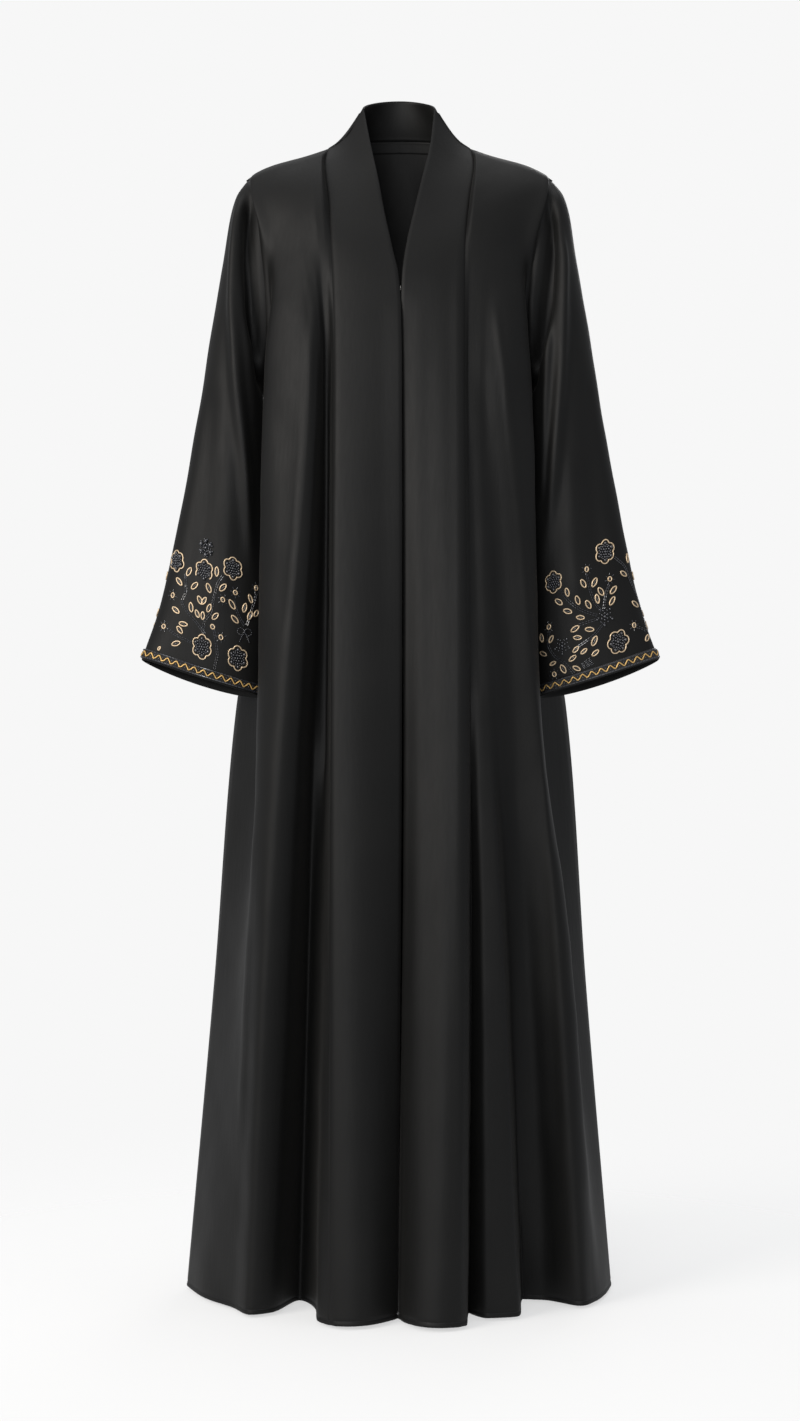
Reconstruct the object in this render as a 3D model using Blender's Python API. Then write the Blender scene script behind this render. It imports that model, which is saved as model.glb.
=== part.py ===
"""Abaya cloak, open at the front, in the hollow shape that it has when it is worn.

The frame has +Z up, the front of the garment towards -Y, and its origin midway between the shoulder seams, at
half their height. Left and right are the wearer's, so the right side is at -X. Tables are in millimetres. In
them "ahead" is a distance in front of the origin, so that Y is minus ahead.
"""

import math
from collections import namedtuple

import bpy
import numpy as np
from mathutils.kdtree import KDTree

MM = 0.001

# Cloth and sewing.
CLOTH_WALL = 2.0
BAND_WALL = 3.0
BORDER_WALL = 2.0
BORDER_HEIGHT = 12.0
BORDER_ABOVE_EDGE = 1.5
SEAM_GAP = 0.4
BORDER_GAP = 0.4

# Heights of the main levels.
CHEST_Z = -120.0
UNDERARM_Z = -270.0
CUFF_Z = -660.0
SKIRT_Z = -950.0
HEM_Z = -1371.0

# Shoulder seam, neck seam and armhole.
SHOULDER_AHEAD = -5.0
NECK_POINT_Z = 19.5
SHOULDER_TIP_Z = -19.5
NECK_POINT_X = {"right": -87.8, "left": 86.0}
SHOULDER_TIP_X = {"right": -185.5, "left": 184.0}
SHOULDER_ROUNDING = 6.0
SHOULDER_ROLL_DROP = 10.0
SHOULDER_ROLL_REACH = 22.0
BACK_NECK_DEPTH = 70.0
BACK_NECK_RISE = 24.9
COLLAR_BACK_DEPTH = 57.0
COLLAR_BACK_RISE = 21.7
ARMHOLE_REACH = {"front": 53.0, "back": -57.0}
CHEST_AHEAD = 82.0
CHEST_FULLNESS = 8.0
BLADE_AHEAD = -100.0
ARM_BLADE_AHEAD = -60.0

# Rows and columns of the cloth grids.
ARMHOLE_ROWS = 12
SKIRT_ROWS = 16
SKIRT_ROW_GROWTH = 1.2
FRONT_STEPS = 2
BACK_STEPS = 3
BAND_COLUMNS = 4
SLEEVE_ROWS = 11

Mark = namedtuple("Mark", "z x ahead")
BAND_SEAM = {
    "right": (
        Mark(NECK_POINT_Z, NECK_POINT_X["right"], SHOULDER_AHEAD),
        Mark(0, -91.5, 15),
        Mark(-50, -86.5, 48),
        Mark(CHEST_Z, -81.5, CHEST_AHEAD),
        Mark(UNDERARM_Z, -77.7, 112),
        Mark(CUFF_Z, -79.8, 150),
        Mark(HEM_Z, -81, 196),
    ),
    "left": (
        Mark(NECK_POINT_Z, NECK_POINT_X["left"], SHOULDER_AHEAD),
        Mark(0, 90, 15),
        Mark(-50, 84, 48),
        Mark(CHEST_Z, 77.7, CHEST_AHEAD),
        Mark(UNDERARM_Z, 76.9, 112),
        Mark(CUFF_Z, 79, 150),
        Mark(HEM_Z, 76, 199),
    ),
}
SIDE_SEAM = {
    "right": (
        Mark(UNDERARM_Z, -167, SHOULDER_AHEAD),
        Mark(-330, -150, -18),
        Mark(-450, -156, -44),
        Mark(CUFF_Z, -202, -42),
        Mark(-1000, -229, -32),
        Mark(HEM_Z, -261, -12),
    ),
    "left": (
        Mark(UNDERARM_Z, 160, SHOULDER_AHEAD),
        Mark(-330, 142, -18),
        Mark(-450, 149, -44),
        Mark(CUFF_Z, 205, -42),
        Mark(-1000, 229, -32),
        Mark(HEM_Z, 259, -16),
    ),
}

# Width of the armhole seam by its turn, from the shoulder tip (0) to the underarm (180 degrees).
Turn = namedtuple("Turn", "angle x")
ARMHOLE = {
    "right": (Turn(0, -185.5), Turn(60, -171), Turn(110, -161.5), Turn(150, -162), Turn(180, -167)),
    "left": (Turn(0, 184), Turn(60, 168), Turn(110, 154), Turn(150, 155.5), Turn(180, 160)),
}

# Free edges of the band. Each row goes with the height of the band seam across from it.
Edge = namedtuple("Edge", "seam_z z ahead x_right x_left")
FREE_EDGE = (
    Edge(NECK_POINT_Z, 69, -8, -45, 42.8),
    Edge(0, 24, 18, -37.2, 38),
    Edge(-50, -27, 47, -27, 27),
    Edge(-90, -71, 67, -19.3, 17),
    Edge(-130, -116, 86, -10, 7.5),
    Edge(-163, -153, 97.5, -2.2, 2.9),
    Edge(-198, -189, 102.5, 0.5, 1.8),
    Edge(UNDERARM_Z, -270, 113, 1.5, 2.7),
    Edge(CUFF_Z, -660, 137, 1.6, 2.8),
    Edge(HEM_Z, -1371, 163, -2.1, -0.9),
)
# How far the band swells out of the straight line between its two edges.
Swell = namedtuple("Swell", "z out_right out_left")
BAND_SWELL = (
    Swell(NECK_POINT_Z, -6, -6),
    Swell(CHEST_Z, 2, 2),
    Swell(CUFF_Z, 7, 9),
    Swell(HEM_Z, 21, 31),
)
BACK_COLLAR_SWELL = -1.5
SWELL_SKEW = 0.75

# Lengthwise fold lines: "along" counts on the shoulder seam, from the neck point (0) to the tip (1).
Fold = namedtuple("Fold", "name along x_arm ahead_arm x_cuff ahead_cuff x_skirt ahead_skirt x_hem ahead_hem")
FRONT_FOLDS = {
    "right": (
        Fold("lip beside the band", 0.09, -85, 111, -86, 147, -88, 158, -95, 172),
        Fold("tuck under the lip", 0.18, -93, 107, -92, 136, -94, 128, -98, 121),
        Fold("valley", 0.28, -101, 103, -101, 119, -104, 92, -119, 67),
        Fold("inner slope", 0.40, -109, 105, -117, 127, -123, 119, -148, 122),
        Fold("crest", 0.52, -113, 113, -138, 145, -157, 150, -174, 143),
        Fold("edge over the sleeve", 0.80, -161, 81, -168, 107, -174, 124, -198, 106),
        Fold("pocket behind the edge", 0.93, -149, 48, -154, 52, -190, 50, -238, 48),
    ),
    "left": (
        Fold("tuck beside the band", 0.07, 80, 110, 81, 138, 83, 136, 80, 132),
        Fold("inner crest", 0.15, 86, 109, 91, 149, 98, 157, 101, 160),
        Fold("lapping edge", 0.24, 90, 107, 107, 143, 120, 148, 138, 149),
        Fold("valley behind the lap", 0.35, 99, 103, 118, 118, 128, 102, 147, 62),
        Fold("side slope", 0.48, 112, 103, 138, 98, 152, 90, 172, 66),
        Fold("side crest", 0.62, 128, 107, 160, 115, 186, 116, 212, 102),
        Fold("edge over the sleeve", 0.82, 153, 84, 166, 99, 202, 90, 232, 74),
        Fold("pocket behind the edge", 0.93, 140, 46, 150, 50, 192, 46, 246, 40),
    ),
}

# The back has lines at even steps, with the side seams and both neck points among them.
BackFold = namedtuple(
    "BackFold", "name x_arm ahead_arm x_cuff ahead_cuff x_skirt ahead_skirt x_hem ahead_hem")
BACK_FOLDS = (
    BackFold("right side crest", -149, -62, -178, -96, -194, -106, -213, -108),
    BackFold("right side valley", -126, -88, -140, -92, -152, -84, -172, -72),
    BackFold("right crest", -95, -102, -108, -128, -116, -146, -128, -168),
    BackFold("right valley", -64, -107, -72, -110, -80, -110, -92, -112),
    BackFold("right middle crest", -32, -110, -38, -136, -43, -166, -50, -201),
    BackFold("middle valley", 1, -109, 0, -118, -3, -122, -6, -132),
    BackFold("left middle crest", 33, -110, 36, -138, 38, -162, 41, -192),
    BackFold("left valley", 64, -107, 71, -112, 78, -113, 88, -118),
    BackFold("left crest", 95, -102, 107, -127, 117, -148, 131, -172),
    BackFold("left side valley", 125, -88, 141, -93, 152, -88, 168, -80),
    BackFold("left side crest", 143, -62, 178, -95, 196, -107, 216, -112),
)
BACK_SIDE_STEPS = 6
BACK_NECK_STEPS = 3

# Rings of the right sleeve from its cap to its cuff; the left sleeve has them mirrored.
Ring = namedtuple("Ring", "name x_outer z_outer x_inner x_inner_left z_inner ahead half_depth back_drop sag")
SLEEVE_RINGS = (
    Ring("cap", -202, -42, -167, -161, -286, 1, 56, 0, 0),
    Ring("upper arm", -215, -130, -161, -151, -325, 13, 50, 0, 0),
    Ring("elbow", -244, -310, -159, -150, -425, 25, 42, 0, 0),
    Ring("forearm", -273, -470, -161, -157, -540, 31, 34, 2, 1),
    Ring("flare", -290, -545, -165, -163, -597, 34, 30, 4, 3),
    Ring("cuff", -311, -606, -168, -168, -651, 35, 27, 5, 4),
)
# Soft creases of each sleeve: where they run and how far they stand out.
Crease = namedtuple("Crease", "name angle spread start end out")
SLEEVE_CREASES = (
    Crease("trough in front of the armhole", 112, 38, 0.02, 0.42, -7),
    Crease("ridge down the front", 76, 36, 0.05, 0.75, 6),
    Crease("trough by the elbow", 40, 34, 0.30, 0.85, -4),
    Crease("ridge down the back", 275, 40, 0.05, 0.80, 7),
    Crease("trough behind the armhole", 238, 36, 0.02, 0.45, -6),
)

# Hook and eye, of bent wire, at the foot of the neck opening: half of each route; its other half mirrors it.
HOOK_Z = -168.0
WIRE_RADIUS = 0.5
WIRE_ROUNDING = 2
Bend = namedtuple("Bend", "x ahead apart")
HOOK_BENDS = (
    Bend(-8.0, 94.2, 1.6),
    Bend(-3.0, 94.2, 1.3),
    Bend(0.4, 94.3, 1.1),
    Bend(1.3, 95.2, 1.1),
    Bend(1.45, 96.5, 1.1),
    Bend(1.2, 97.8, 1.1),
    Bend(0.4, 98.6, 1.0),
    Bend(-0.1, 98.7, 0.6),
)
EYE_BENDS = (
    Bend(9.0, 94.2, 3.6),
    Bend(3.0, 94.2, 3.2),
    Bend(1.2, 94.6, 3.1),
    Bend(0.3, 95.7, 3.0),
    Bend(0.15, 96.5, 2.5),
)

# Colours are linear.
Finish = namedtuple("Finish", "colour roughness metallic")
CREPE = Finish((0.0075, 0.0075, 0.0082), 0.62, 0.0)
BEADED = Finish((0.016, 0.014, 0.012), 0.40, 0.0)
STEEL = Finish((0.48, 0.48, 0.50), 0.25, 1.0)

# Points this near each other are one point of a seam.
SAME_POINT = 0.1
# Edges that turn more than this many degrees stay sharp.
SHARP_EDGE = 50.0


def clear_scene():
    for thing in list(bpy.data.objects):
        bpy.data.objects.remove(thing, do_unlink=True)


def plain_material(name, finish):
    material = bpy.data.materials.new(name)
    material.use_nodes = True
    shader = material.node_tree.nodes["Principled BSDF"]
    shader.inputs["Base Color"].default_value = (*finish.colour, 1.0)
    shader.inputs["Roughness"].default_value = finish.roughness
    shader.inputs["Metallic"].default_value = finish.metallic
    return material


def through(keys, values, at):
    """Points at the keys `at` on a smooth curve through the values, which never swings past them."""
    keys = np.asarray(keys, float)
    values = np.asarray(values, float).reshape(len(keys), -1)
    step = np.diff(keys)[:, None]
    slope = np.diff(values, axis=0) / step
    tangent = np.zeros_like(values)
    tangent[0] = slope[0]
    tangent[-1] = slope[-1]
    before, after = slope[:-1], slope[1:]
    same_way = before * after > 0
    weight = (step[1:] * 2 + step[:-1], step[1:] + step[:-1] * 2)
    with np.errstate(divide="ignore", invalid="ignore"):
        mean = (weight[0] + weight[1]) / (weight[0] / before + weight[1] / after)
    tangent[1:-1] = np.where(same_way, mean, 0.0)
    at = np.asarray(at, float)
    index = np.clip(np.searchsorted(keys, at, side="right") - 1, 0, len(keys) - 2)
    width = step[index]
    t = ((at - keys[index])[:, None]) / width
    return (
        values[index] * (1 + 2 * t) * (1 - t) ** 2
        + tangent[index] * width * t * (1 - t) ** 2
        + values[index + 1] * t**2 * (3 - 2 * t)
        + tangent[index + 1] * width * t**2 * (t - 1)
    )


def place(x, ahead, z):
    return np.stack(np.broadcast_arrays(x, -np.asarray(ahead, float), z), axis=-1).astype(float)


def row_heights(top):
    """Heights of the rows of a line that starts at `top`: a round armhole's steps, then the skirt's."""
    turn = np.linspace(0, math.pi, ARMHOLE_ROWS + 1)
    upper = top + (1 - np.cos(turn)) / 2 * (UNDERARM_Z - top)
    skirt = (np.arange(1, SKIRT_ROWS + 1) / SKIRT_ROWS) ** SKIRT_ROW_GROWTH
    return np.concatenate([upper, UNDERARM_Z + skirt * (HEM_Z - UNDERARM_Z)])


def marked_line(marks, heights):
    table = np.array([(mark.x, mark.ahead) for mark in marks], float)
    drops = [-mark.z for mark in marks]
    x, ahead = through(drops, table, -heights).T
    return place(x, ahead, heights)


def band_seam(side):
    return marked_line(BAND_SEAM[side], row_heights(NECK_POINT_Z))


def side_line(side, face):
    """The armhole seam from the shoulder tip to the underarm, and then the side seam down to the hem."""
    angle = np.linspace(0, 180, ARMHOLE_ROWS + 1)
    turns = ARMHOLE[side]
    x = through([turn.angle for turn in turns], [turn.x for turn in turns], angle)[:, 0]
    ahead = SHOULDER_AHEAD + ARMHOLE_REACH[face] * np.sin(np.radians(angle))
    heights = row_heights(SHOULDER_TIP_Z)
    armhole = place(x, ahead, heights[: ARMHOLE_ROWS + 1])
    return np.vstack([armhole, marked_line(SIDE_SEAM[side], heights[ARMHOLE_ROWS + 1 :])])


def at_height(line, height):
    """Where a line of points, running down, is at one height: its x and its ahead."""
    x = np.interp(-height, -line[:, 2], line[:, 0])
    return x, -np.interp(-height, -line[:, 2], line[:, 1])


def shoulder_point(side, along):
    """A point of the shoulder seam, which rounds over the shoulder on its way to the tip."""
    x = NECK_POINT_X[side] + along * (SHOULDER_TIP_X[side] - NECK_POINT_X[side])
    straight_z = NECK_POINT_Z + along * (SHOULDER_TIP_Z - NECK_POINT_Z)
    return place(x, SHOULDER_AHEAD, straight_z + SHOULDER_ROUNDING * math.sin(math.pi * along**2))


def neck_point(turn):
    """A point of the neck seam round the back, from the right neck point (0) to the left one (180)."""
    turn = math.radians(turn)
    share = (1 - math.cos(turn)) / 2
    x = NECK_POINT_X["right"] * (1 - share) + NECK_POINT_X["left"] * share
    ahead = SHOULDER_AHEAD - BACK_NECK_DEPTH * math.sin(turn)
    return place(x, ahead, NECK_POINT_Z + BACK_NECK_RISE * math.sin(turn))


def fold_line(fold, top, chest, roll):
    """One lengthwise line of a panel, through its places at the shoulder, chest, underarm, cuff and hem."""
    rows = [
        (top[2], top[0], -top[1]),
        (top[2] - SHOULDER_ROLL_DROP, top[0], -top[1] + roll),
        (CHEST_Z, *chest),
        (UNDERARM_Z, fold.x_arm, fold.ahead_arm),
        (CUFF_Z, fold.x_cuff, fold.ahead_cuff),
        (SKIRT_Z, fold.x_skirt, fold.ahead_skirt),
        (HEM_Z, fold.x_hem, fold.ahead_hem),
    ]
    if not roll:
        del rows[1]
    heights = row_heights(top[2])
    table = np.array(rows, float)
    x, ahead = through(-table[:, 0], table[:, 1:], -heights).T
    return place(x, ahead, heights)


def panel_between(lines, steps_between):
    """A grid of rows and columns, smooth from line to line across each row."""
    lines = np.array(lines)
    steps = (len(lines) - 1) * steps_between
    grid = []
    for row in lines.transpose(1, 0, 2):
        spans = np.sqrt(np.linalg.norm(np.diff(row, axis=0), axis=1))
        keys = np.concatenate([[0], np.cumsum(spans)])
        at = np.interp(np.linspace(0, len(lines) - 1, steps + 1), np.arange(len(lines)), keys)
        grid.append(through(keys, row, at))
    return np.array(grid)


def front_panel(side):
    seam = band_seam(side)
    outer = side_line(side, "front")
    seam_x, seam_ahead = at_height(seam, CHEST_Z)
    arm_x, arm_ahead = at_height(outer, CHEST_Z)
    lines = [seam]
    for fold in FRONT_FOLDS[side]:
        share = fold.along
        fullness = CHEST_FULLNESS * 4 * share * (1 - share)
        chest_x = seam_x + share * (arm_x - seam_x)
        chest_ahead = seam_ahead + share * (arm_ahead - seam_ahead) + fullness
        top = shoulder_point(side, share)
        lines.append(fold_line(fold, top, (chest_x, chest_ahead), SHOULDER_ROLL_REACH))
    lines.append(outer)
    return panel_between(lines if side == "left" else lines[::-1], FRONT_STEPS)


def back_top(step):
    """A point on the back's top edge; the steps run from the right shoulder tip (-6) to the left one (6)."""
    side = "right" if step < 0 else "left"
    if abs(step) >= BACK_NECK_STEPS:
        return shoulder_point(side, (abs(step) - BACK_NECK_STEPS) / BACK_NECK_STEPS)
    return neck_point((step + BACK_NECK_STEPS) / (2 * BACK_NECK_STEPS) * 180)


def back_panel():
    right = side_line("right", "back")
    left = side_line("left", "back")
    lines = [right]
    for number, fold in enumerate(BACK_FOLDS):
        step = number + 1 - BACK_SIDE_STEPS
        across = abs(step) / BACK_SIDE_STEPS
        side = right if step < 0 else left
        chest_x = across * at_height(side, CHEST_Z)[0]
        chest_ahead = ARM_BLADE_AHEAD + (BLADE_AHEAD - ARM_BLADE_AHEAD) * (1 - across**2)
        roll = -SHOULDER_ROLL_REACH if abs(step) >= BACK_NECK_STEPS else 0.0
        lines.append(fold_line(fold, back_top(step), (chest_x, chest_ahead), roll))
    lines.append(left)
    grid = panel_between(lines[::-1], BACK_STEPS)
    columns = grid.shape[1]
    exact = np.array([back_top(step) for step in np.linspace(BACK_SIDE_STEPS, -BACK_SIDE_STEPS, columns)])
    missed = exact - grid[0]
    drop = (1 - np.cos(np.linspace(0, math.pi, ARMHOLE_ROWS + 1))) / 2
    grid[: ARMHOLE_ROWS + 1] += missed[None] * ((1 - drop) ** 3)[:, None, None]
    return grid


def free_edge(side):
    table = np.array([(e.z, getattr(e, "x_" + side), e.ahead) for e in FREE_EDGE], float)
    drops = [-edge.seam_z for edge in FREE_EDGE]
    z, x, ahead = through(drops, table, -row_heights(NECK_POINT_Z)).T
    return place(x, ahead, z)


def collar_edge(turn):
    turn = math.radians(turn)
    top = FREE_EDGE[0]
    share = (1 - math.cos(turn)) / 2
    x = top.x_right * (1 - share) + top.x_left * share
    return place(x, top.ahead - COLLAR_BACK_DEPTH * math.sin(turn), top.z + COLLAR_BACK_RISE * math.sin(turn))


def band_swell(side):
    drops = [-swell.z for swell in BAND_SWELL]
    out = [getattr(swell, "out_" + side) for swell in BAND_SWELL]
    return through(drops, out, -row_heights(NECK_POINT_Z))[:, 0]


def band_grid():
    """The band from the left hem, up and round the neck, and down to the right hem."""
    neck_turns = np.linspace(180, 0, BACK_NECK_STEPS * 2 * BACK_STEPS + 1)[1:-1]
    seam = np.vstack([band_seam("left")[::-1], [neck_point(turn) for turn in neck_turns], band_seam("right")])
    collar = [collar_edge(turn) for turn in neck_turns]
    edge = np.vstack([free_edge("left")[::-1], collar, free_edge("right")])
    side_swell = BAND_SWELL[0].out_right
    back_swell = side_swell + (BACK_COLLAR_SWELL - side_swell) * np.sin(np.radians(neck_turns))
    swell = np.concatenate([band_swell("left")[::-1], back_swell, band_swell("right")])
    across = np.linspace(0, 1, BAND_COLUMNS + 1)
    flat = seam[:, None] * (1 - across)[None, :, None] + edge[:, None] * across[None, :, None]
    arch = np.sin(math.pi * across**SWELL_SKEW)
    return flat + grid_normals(flat) * (swell[:, None] * arch[None])[..., None]


def sleeve_ring(ring, side):
    """One ring: it turns from the outer line (0) over the front (90) and the inner line (180) to the back."""
    mirror, inner = (1, ring.x_inner) if side == "right" else (-1, ring.x_inner_left)
    turn = np.linspace(0, 2 * math.pi, 2 * ARMHOLE_ROWS + 1)[:-1]
    outward = (1 + np.cos(turn)) / 2
    x = inner + outward * (ring.x_outer - inner)
    z = ring.z_inner + outward * (ring.z_outer - ring.z_inner)
    z = z + ring.back_drop * np.sin(turn) - ring.sag * np.sin(turn) ** 2
    return place(mirror * x, ring.ahead + ring.half_depth * np.sin(turn), z)


def sleeve_stations(side):
    front = side_line(side, "front")[: ARMHOLE_ROWS + 1]
    back = side_line(side, "back")[1:ARMHOLE_ROWS][::-1]
    armhole = np.vstack([front, back])
    stations = np.array([armhole] + [sleeve_ring(ring, side) for ring in SLEEVE_RINGS])
    return stations if side == "right" else stations[:, ::-1]


def sleeve_grid(side):
    """The sleeve's rows of points, closed round. The last two rows but one bound the border."""
    stations = sleeve_stations(side)
    lengths = np.linalg.norm(np.diff(stations, axis=0), axis=2).mean(axis=1)
    keys = np.concatenate([[0], np.cumsum(lengths)])
    border = keys[-1] - BORDER_ABOVE_EDGE - BORDER_HEIGHT
    at = np.concatenate([np.linspace(0, border, SLEEVE_ROWS), [keys[-1] - BORDER_ABOVE_EDGE, keys[-1]]])
    grid = np.stack([through(keys, stations[:, i], at) for i in range(stations.shape[1])], axis=1)
    down = at / keys[-1]
    angle = np.linspace(0, 360, grid.shape[1], endpoint=False)
    if side == "left":
        angle = angle[::-1]
    out = np.zeros(grid.shape[:2])
    for crease in SLEEVE_CREASES:
        near = (angle - crease.angle + 180) % 360 - 180
        round_it = np.exp(-((near / crease.spread) ** 2) * 4)
        inside = np.clip((down - crease.start) / (crease.end - crease.start), 0, 1)
        out += crease.out * np.sin(math.pi * inside)[:, None] ** 2 * round_it[None]
    return grid + tube_normals(grid) * out[..., None]


def grid_normals(grid):
    """Unit normals of an open grid, down the rows by across the columns."""
    across = np.gradient(grid, axis=1)
    down = np.gradient(grid, axis=0)
    normals = np.cross(down, across)
    return normals / np.linalg.norm(normals, axis=2, keepdims=True)


def tube_normals(grid):
    around = np.roll(grid, -1, axis=1) - np.roll(grid, 1, axis=1)
    down = np.gradient(grid, axis=0)
    normals = np.cross(down, around)
    return normals / np.linalg.norm(normals, axis=2, keepdims=True)


def on_shoulder_seam(point):
    side = "right" if point[0] < 0 else "left"
    along = (point[0] - NECK_POINT_X[side]) / (SHOULDER_TIP_X[side] - NECK_POINT_X[side])
    near = shoulder_point(side, min(max(along, 0.0), 1.0))
    return abs(point[1] + SHOULDER_AHEAD) < SAME_POINT and np.linalg.norm(point - near) < CLOTH_WALL / 2


def share_seam_normals(grids, normals):
    """Gives the pieces that meet at a seam one direction there, so that their edges are cut to match."""
    points = np.concatenate([grid.reshape(-1, 3) for grid in grids.values()])
    directions = np.concatenate([normals[name].reshape(-1, 3) for name in grids])
    tree = KDTree(len(points))
    for index, point in enumerate(points):
        tree.insert(point, index)
    tree.balance()
    shared = directions.copy()
    for index, point in enumerate(points):
        met = [found[1] for found in tree.find_range(point, SAME_POINT)]
        if len(met) > 1:
            shared[index] = directions[met].sum(axis=0)
        if on_shoulder_seam(point):
            shared[index][1] = 0.0
    shared /= np.linalg.norm(shared, axis=1, keepdims=True)
    start = 0
    for name, grid in grids.items():
        count = grid.shape[0] * grid.shape[1]
        normals[name] = shared[start : start + count].reshape(grid.shape)
        start += count


def draw_back(grid, edge):
    """Moves one edge of a grid half a seam gap towards the cloth's inside."""
    near, next_in = {
        "top": (grid[0], grid[1]),
        "bottom": (grid[-1], grid[-2]),
        "first": (grid[:, 0], grid[:, 1]),
        "last": (grid[:, -1], grid[:, -2]),
    }[edge]
    inward = next_in - near
    near += inward / np.linalg.norm(inward, axis=-1, keepdims=True) * SEAM_GAP / 2


def edge_faces(points, half, here, there):
    """Two triangles of a wall's edge, split along the shorter diagonal so that neighbours match."""
    if math.dist(points[here], points[half + there]) < math.dist(points[there], points[half + here]):
        return [(here, there, half + there), (here, half + there, half + here)]
    return [(here, there, half + here), (there, half + there, half + here)]


def wall_mesh(name, outer, inner, around):
    """A closed wall between two grids of points; `around` joins the last column to the first."""
    rows, columns = outer.shape[:2]
    points = (np.concatenate([outer.reshape(-1, 3), inner.reshape(-1, 3)]) * MM).tolist()
    half = rows * columns
    index = np.arange(half).reshape(rows, columns)
    if around:
        index = np.hstack([index, index[:, :1]])
    faces = []
    corners = np.stack([index[:-1, :-1], index[1:, :-1], index[1:, 1:], index[:-1, 1:]], axis=-1)
    for face in corners.reshape(-1, 4).tolist():
        faces.append(face)
        faces.append([half + corner for corner in reversed(face)])
    edges = list(zip(index[0, :-1], index[0, 1:])) + list(zip(index[-1, 1:], index[-1, :-1]))
    if not around:
        edges += list(zip(index[1:, 0], index[:-1, 0])) + list(zip(index[:-1, -1], index[1:, -1]))
    for here, there in edges:
        faces += edge_faces(points, half, int(here), int(there))
    mesh = bpy.data.meshes.new(name)
    mesh.from_pydata(points, [], faces)
    mesh.update()
    return mesh


def add_piece(name, mesh, material, parent):
    mesh.materials.append(material)
    mesh.shade_smooth()
    mesh.set_sharp_from_angle(angle=math.radians(SHARP_EDGE))
    piece = bpy.data.objects.new(name, mesh)
    bpy.context.scene.collection.objects.link(piece)
    piece.parent = parent
    return piece


def add_border(name, grid, normals, material, parent):
    """The beaded border: the sleeve's own points just above its edge, moved out."""
    strip = grid[-3:-1]
    out = normals[-3:-1]
    inner = strip + out * BORDER_GAP
    outer = strip + out * (BORDER_GAP + BORDER_WALL)
    add_piece(name, wall_mesh(name, outer, inner, True), material, parent)


def add_cloth(name, grid, normals, wall, sewn_edges, material, parent):
    """A cloth piece: its outer points, and the same points one wall further in."""
    outer = grid.copy()
    inner = grid - normals * wall
    for edge in sewn_edges:
        draw_back(outer, edge)
        draw_back(inner, edge)
    around = name.startswith("sleeve")
    add_piece(name, wall_mesh(name, outer, inner, around), material, parent)


def add_wire(name, bends, material, parent):
    """A piece of bent wire that is the same above and below HOOK_Z."""
    upper = [(bend.x, -bend.ahead, HOOK_Z + bend.apart) for bend in bends]
    lower = [(bend.x, -bend.ahead, HOOK_Z - bend.apart) for bend in reversed(bends)]
    route = upper + lower
    curve = bpy.data.curves.new(name, "CURVE")
    curve.dimensions = "3D"
    curve.bevel_depth = WIRE_RADIUS * MM
    curve.bevel_resolution = WIRE_ROUNDING
    curve.use_fill_caps = True
    spline = curve.splines.new("POLY")
    spline.points.add(len(route) - 1)
    for point, (x, y, z) in zip(spline.points, route):
        point.co = (x * MM, y * MM, z * MM, 1.0)
    curve.materials.append(material)
    wire = bpy.data.objects.new(name, curve)
    bpy.context.scene.collection.objects.link(wire)
    wire.parent = parent


def main():
    clear_scene()
    frame = bpy.data.objects.new("abaya", None)
    bpy.context.scene.collection.objects.link(frame)
    crepe = plain_material("black_crepe", CREPE)
    beaded = plain_material("beaded_border", BEADED)
    steel = plain_material("steel_wire", STEEL)
    grids = {
        "back": back_panel(),
        "front_right": front_panel("right"),
        "front_left": front_panel("left"),
        "front_band": band_grid(),
        "sleeve_right": sleeve_grid("right"),
        "sleeve_left": sleeve_grid("left"),
    }
    normals = {
        name: tube_normals(grid) if name.startswith("sleeve") else grid_normals(grid)
        for name, grid in grids.items()
    }
    share_seam_normals(grids, normals)
    sewn = {"front_band": ("first",), "sleeve_right": ("top",), "sleeve_left": ("top",)}
    for name, grid in grids.items():
        wall = BAND_WALL if name == "front_band" else CLOTH_WALL
        edges = sewn.get(name, ("top", "first", "last"))
        add_cloth(name, grid, normals[name], wall, edges, crepe, frame)
    for side in ("right", "left"):
        sleeve = "sleeve_" + side
        add_border("cuff_border_" + side, grids[sleeve], normals[sleeve], beaded, frame)
    add_wire("hook", HOOK_BENDS, steel, frame)
    add_wire("eye", EYE_BENDS, steel, frame)


main()
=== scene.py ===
"""Abaya cloak of black crepe with beaded cuffs, in the hollow shape that it has when it is worn.

The frame has +Z up, the front of the garment towards -Y, and its origin midway between the shoulder seams.
Left and right are the wearer's, so the right side is at -X. The cloth's tables are in millimetres. In them
"ahead" is a distance in front of the origin, so that Y is minus ahead.
"""

import math
from collections import namedtuple

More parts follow.
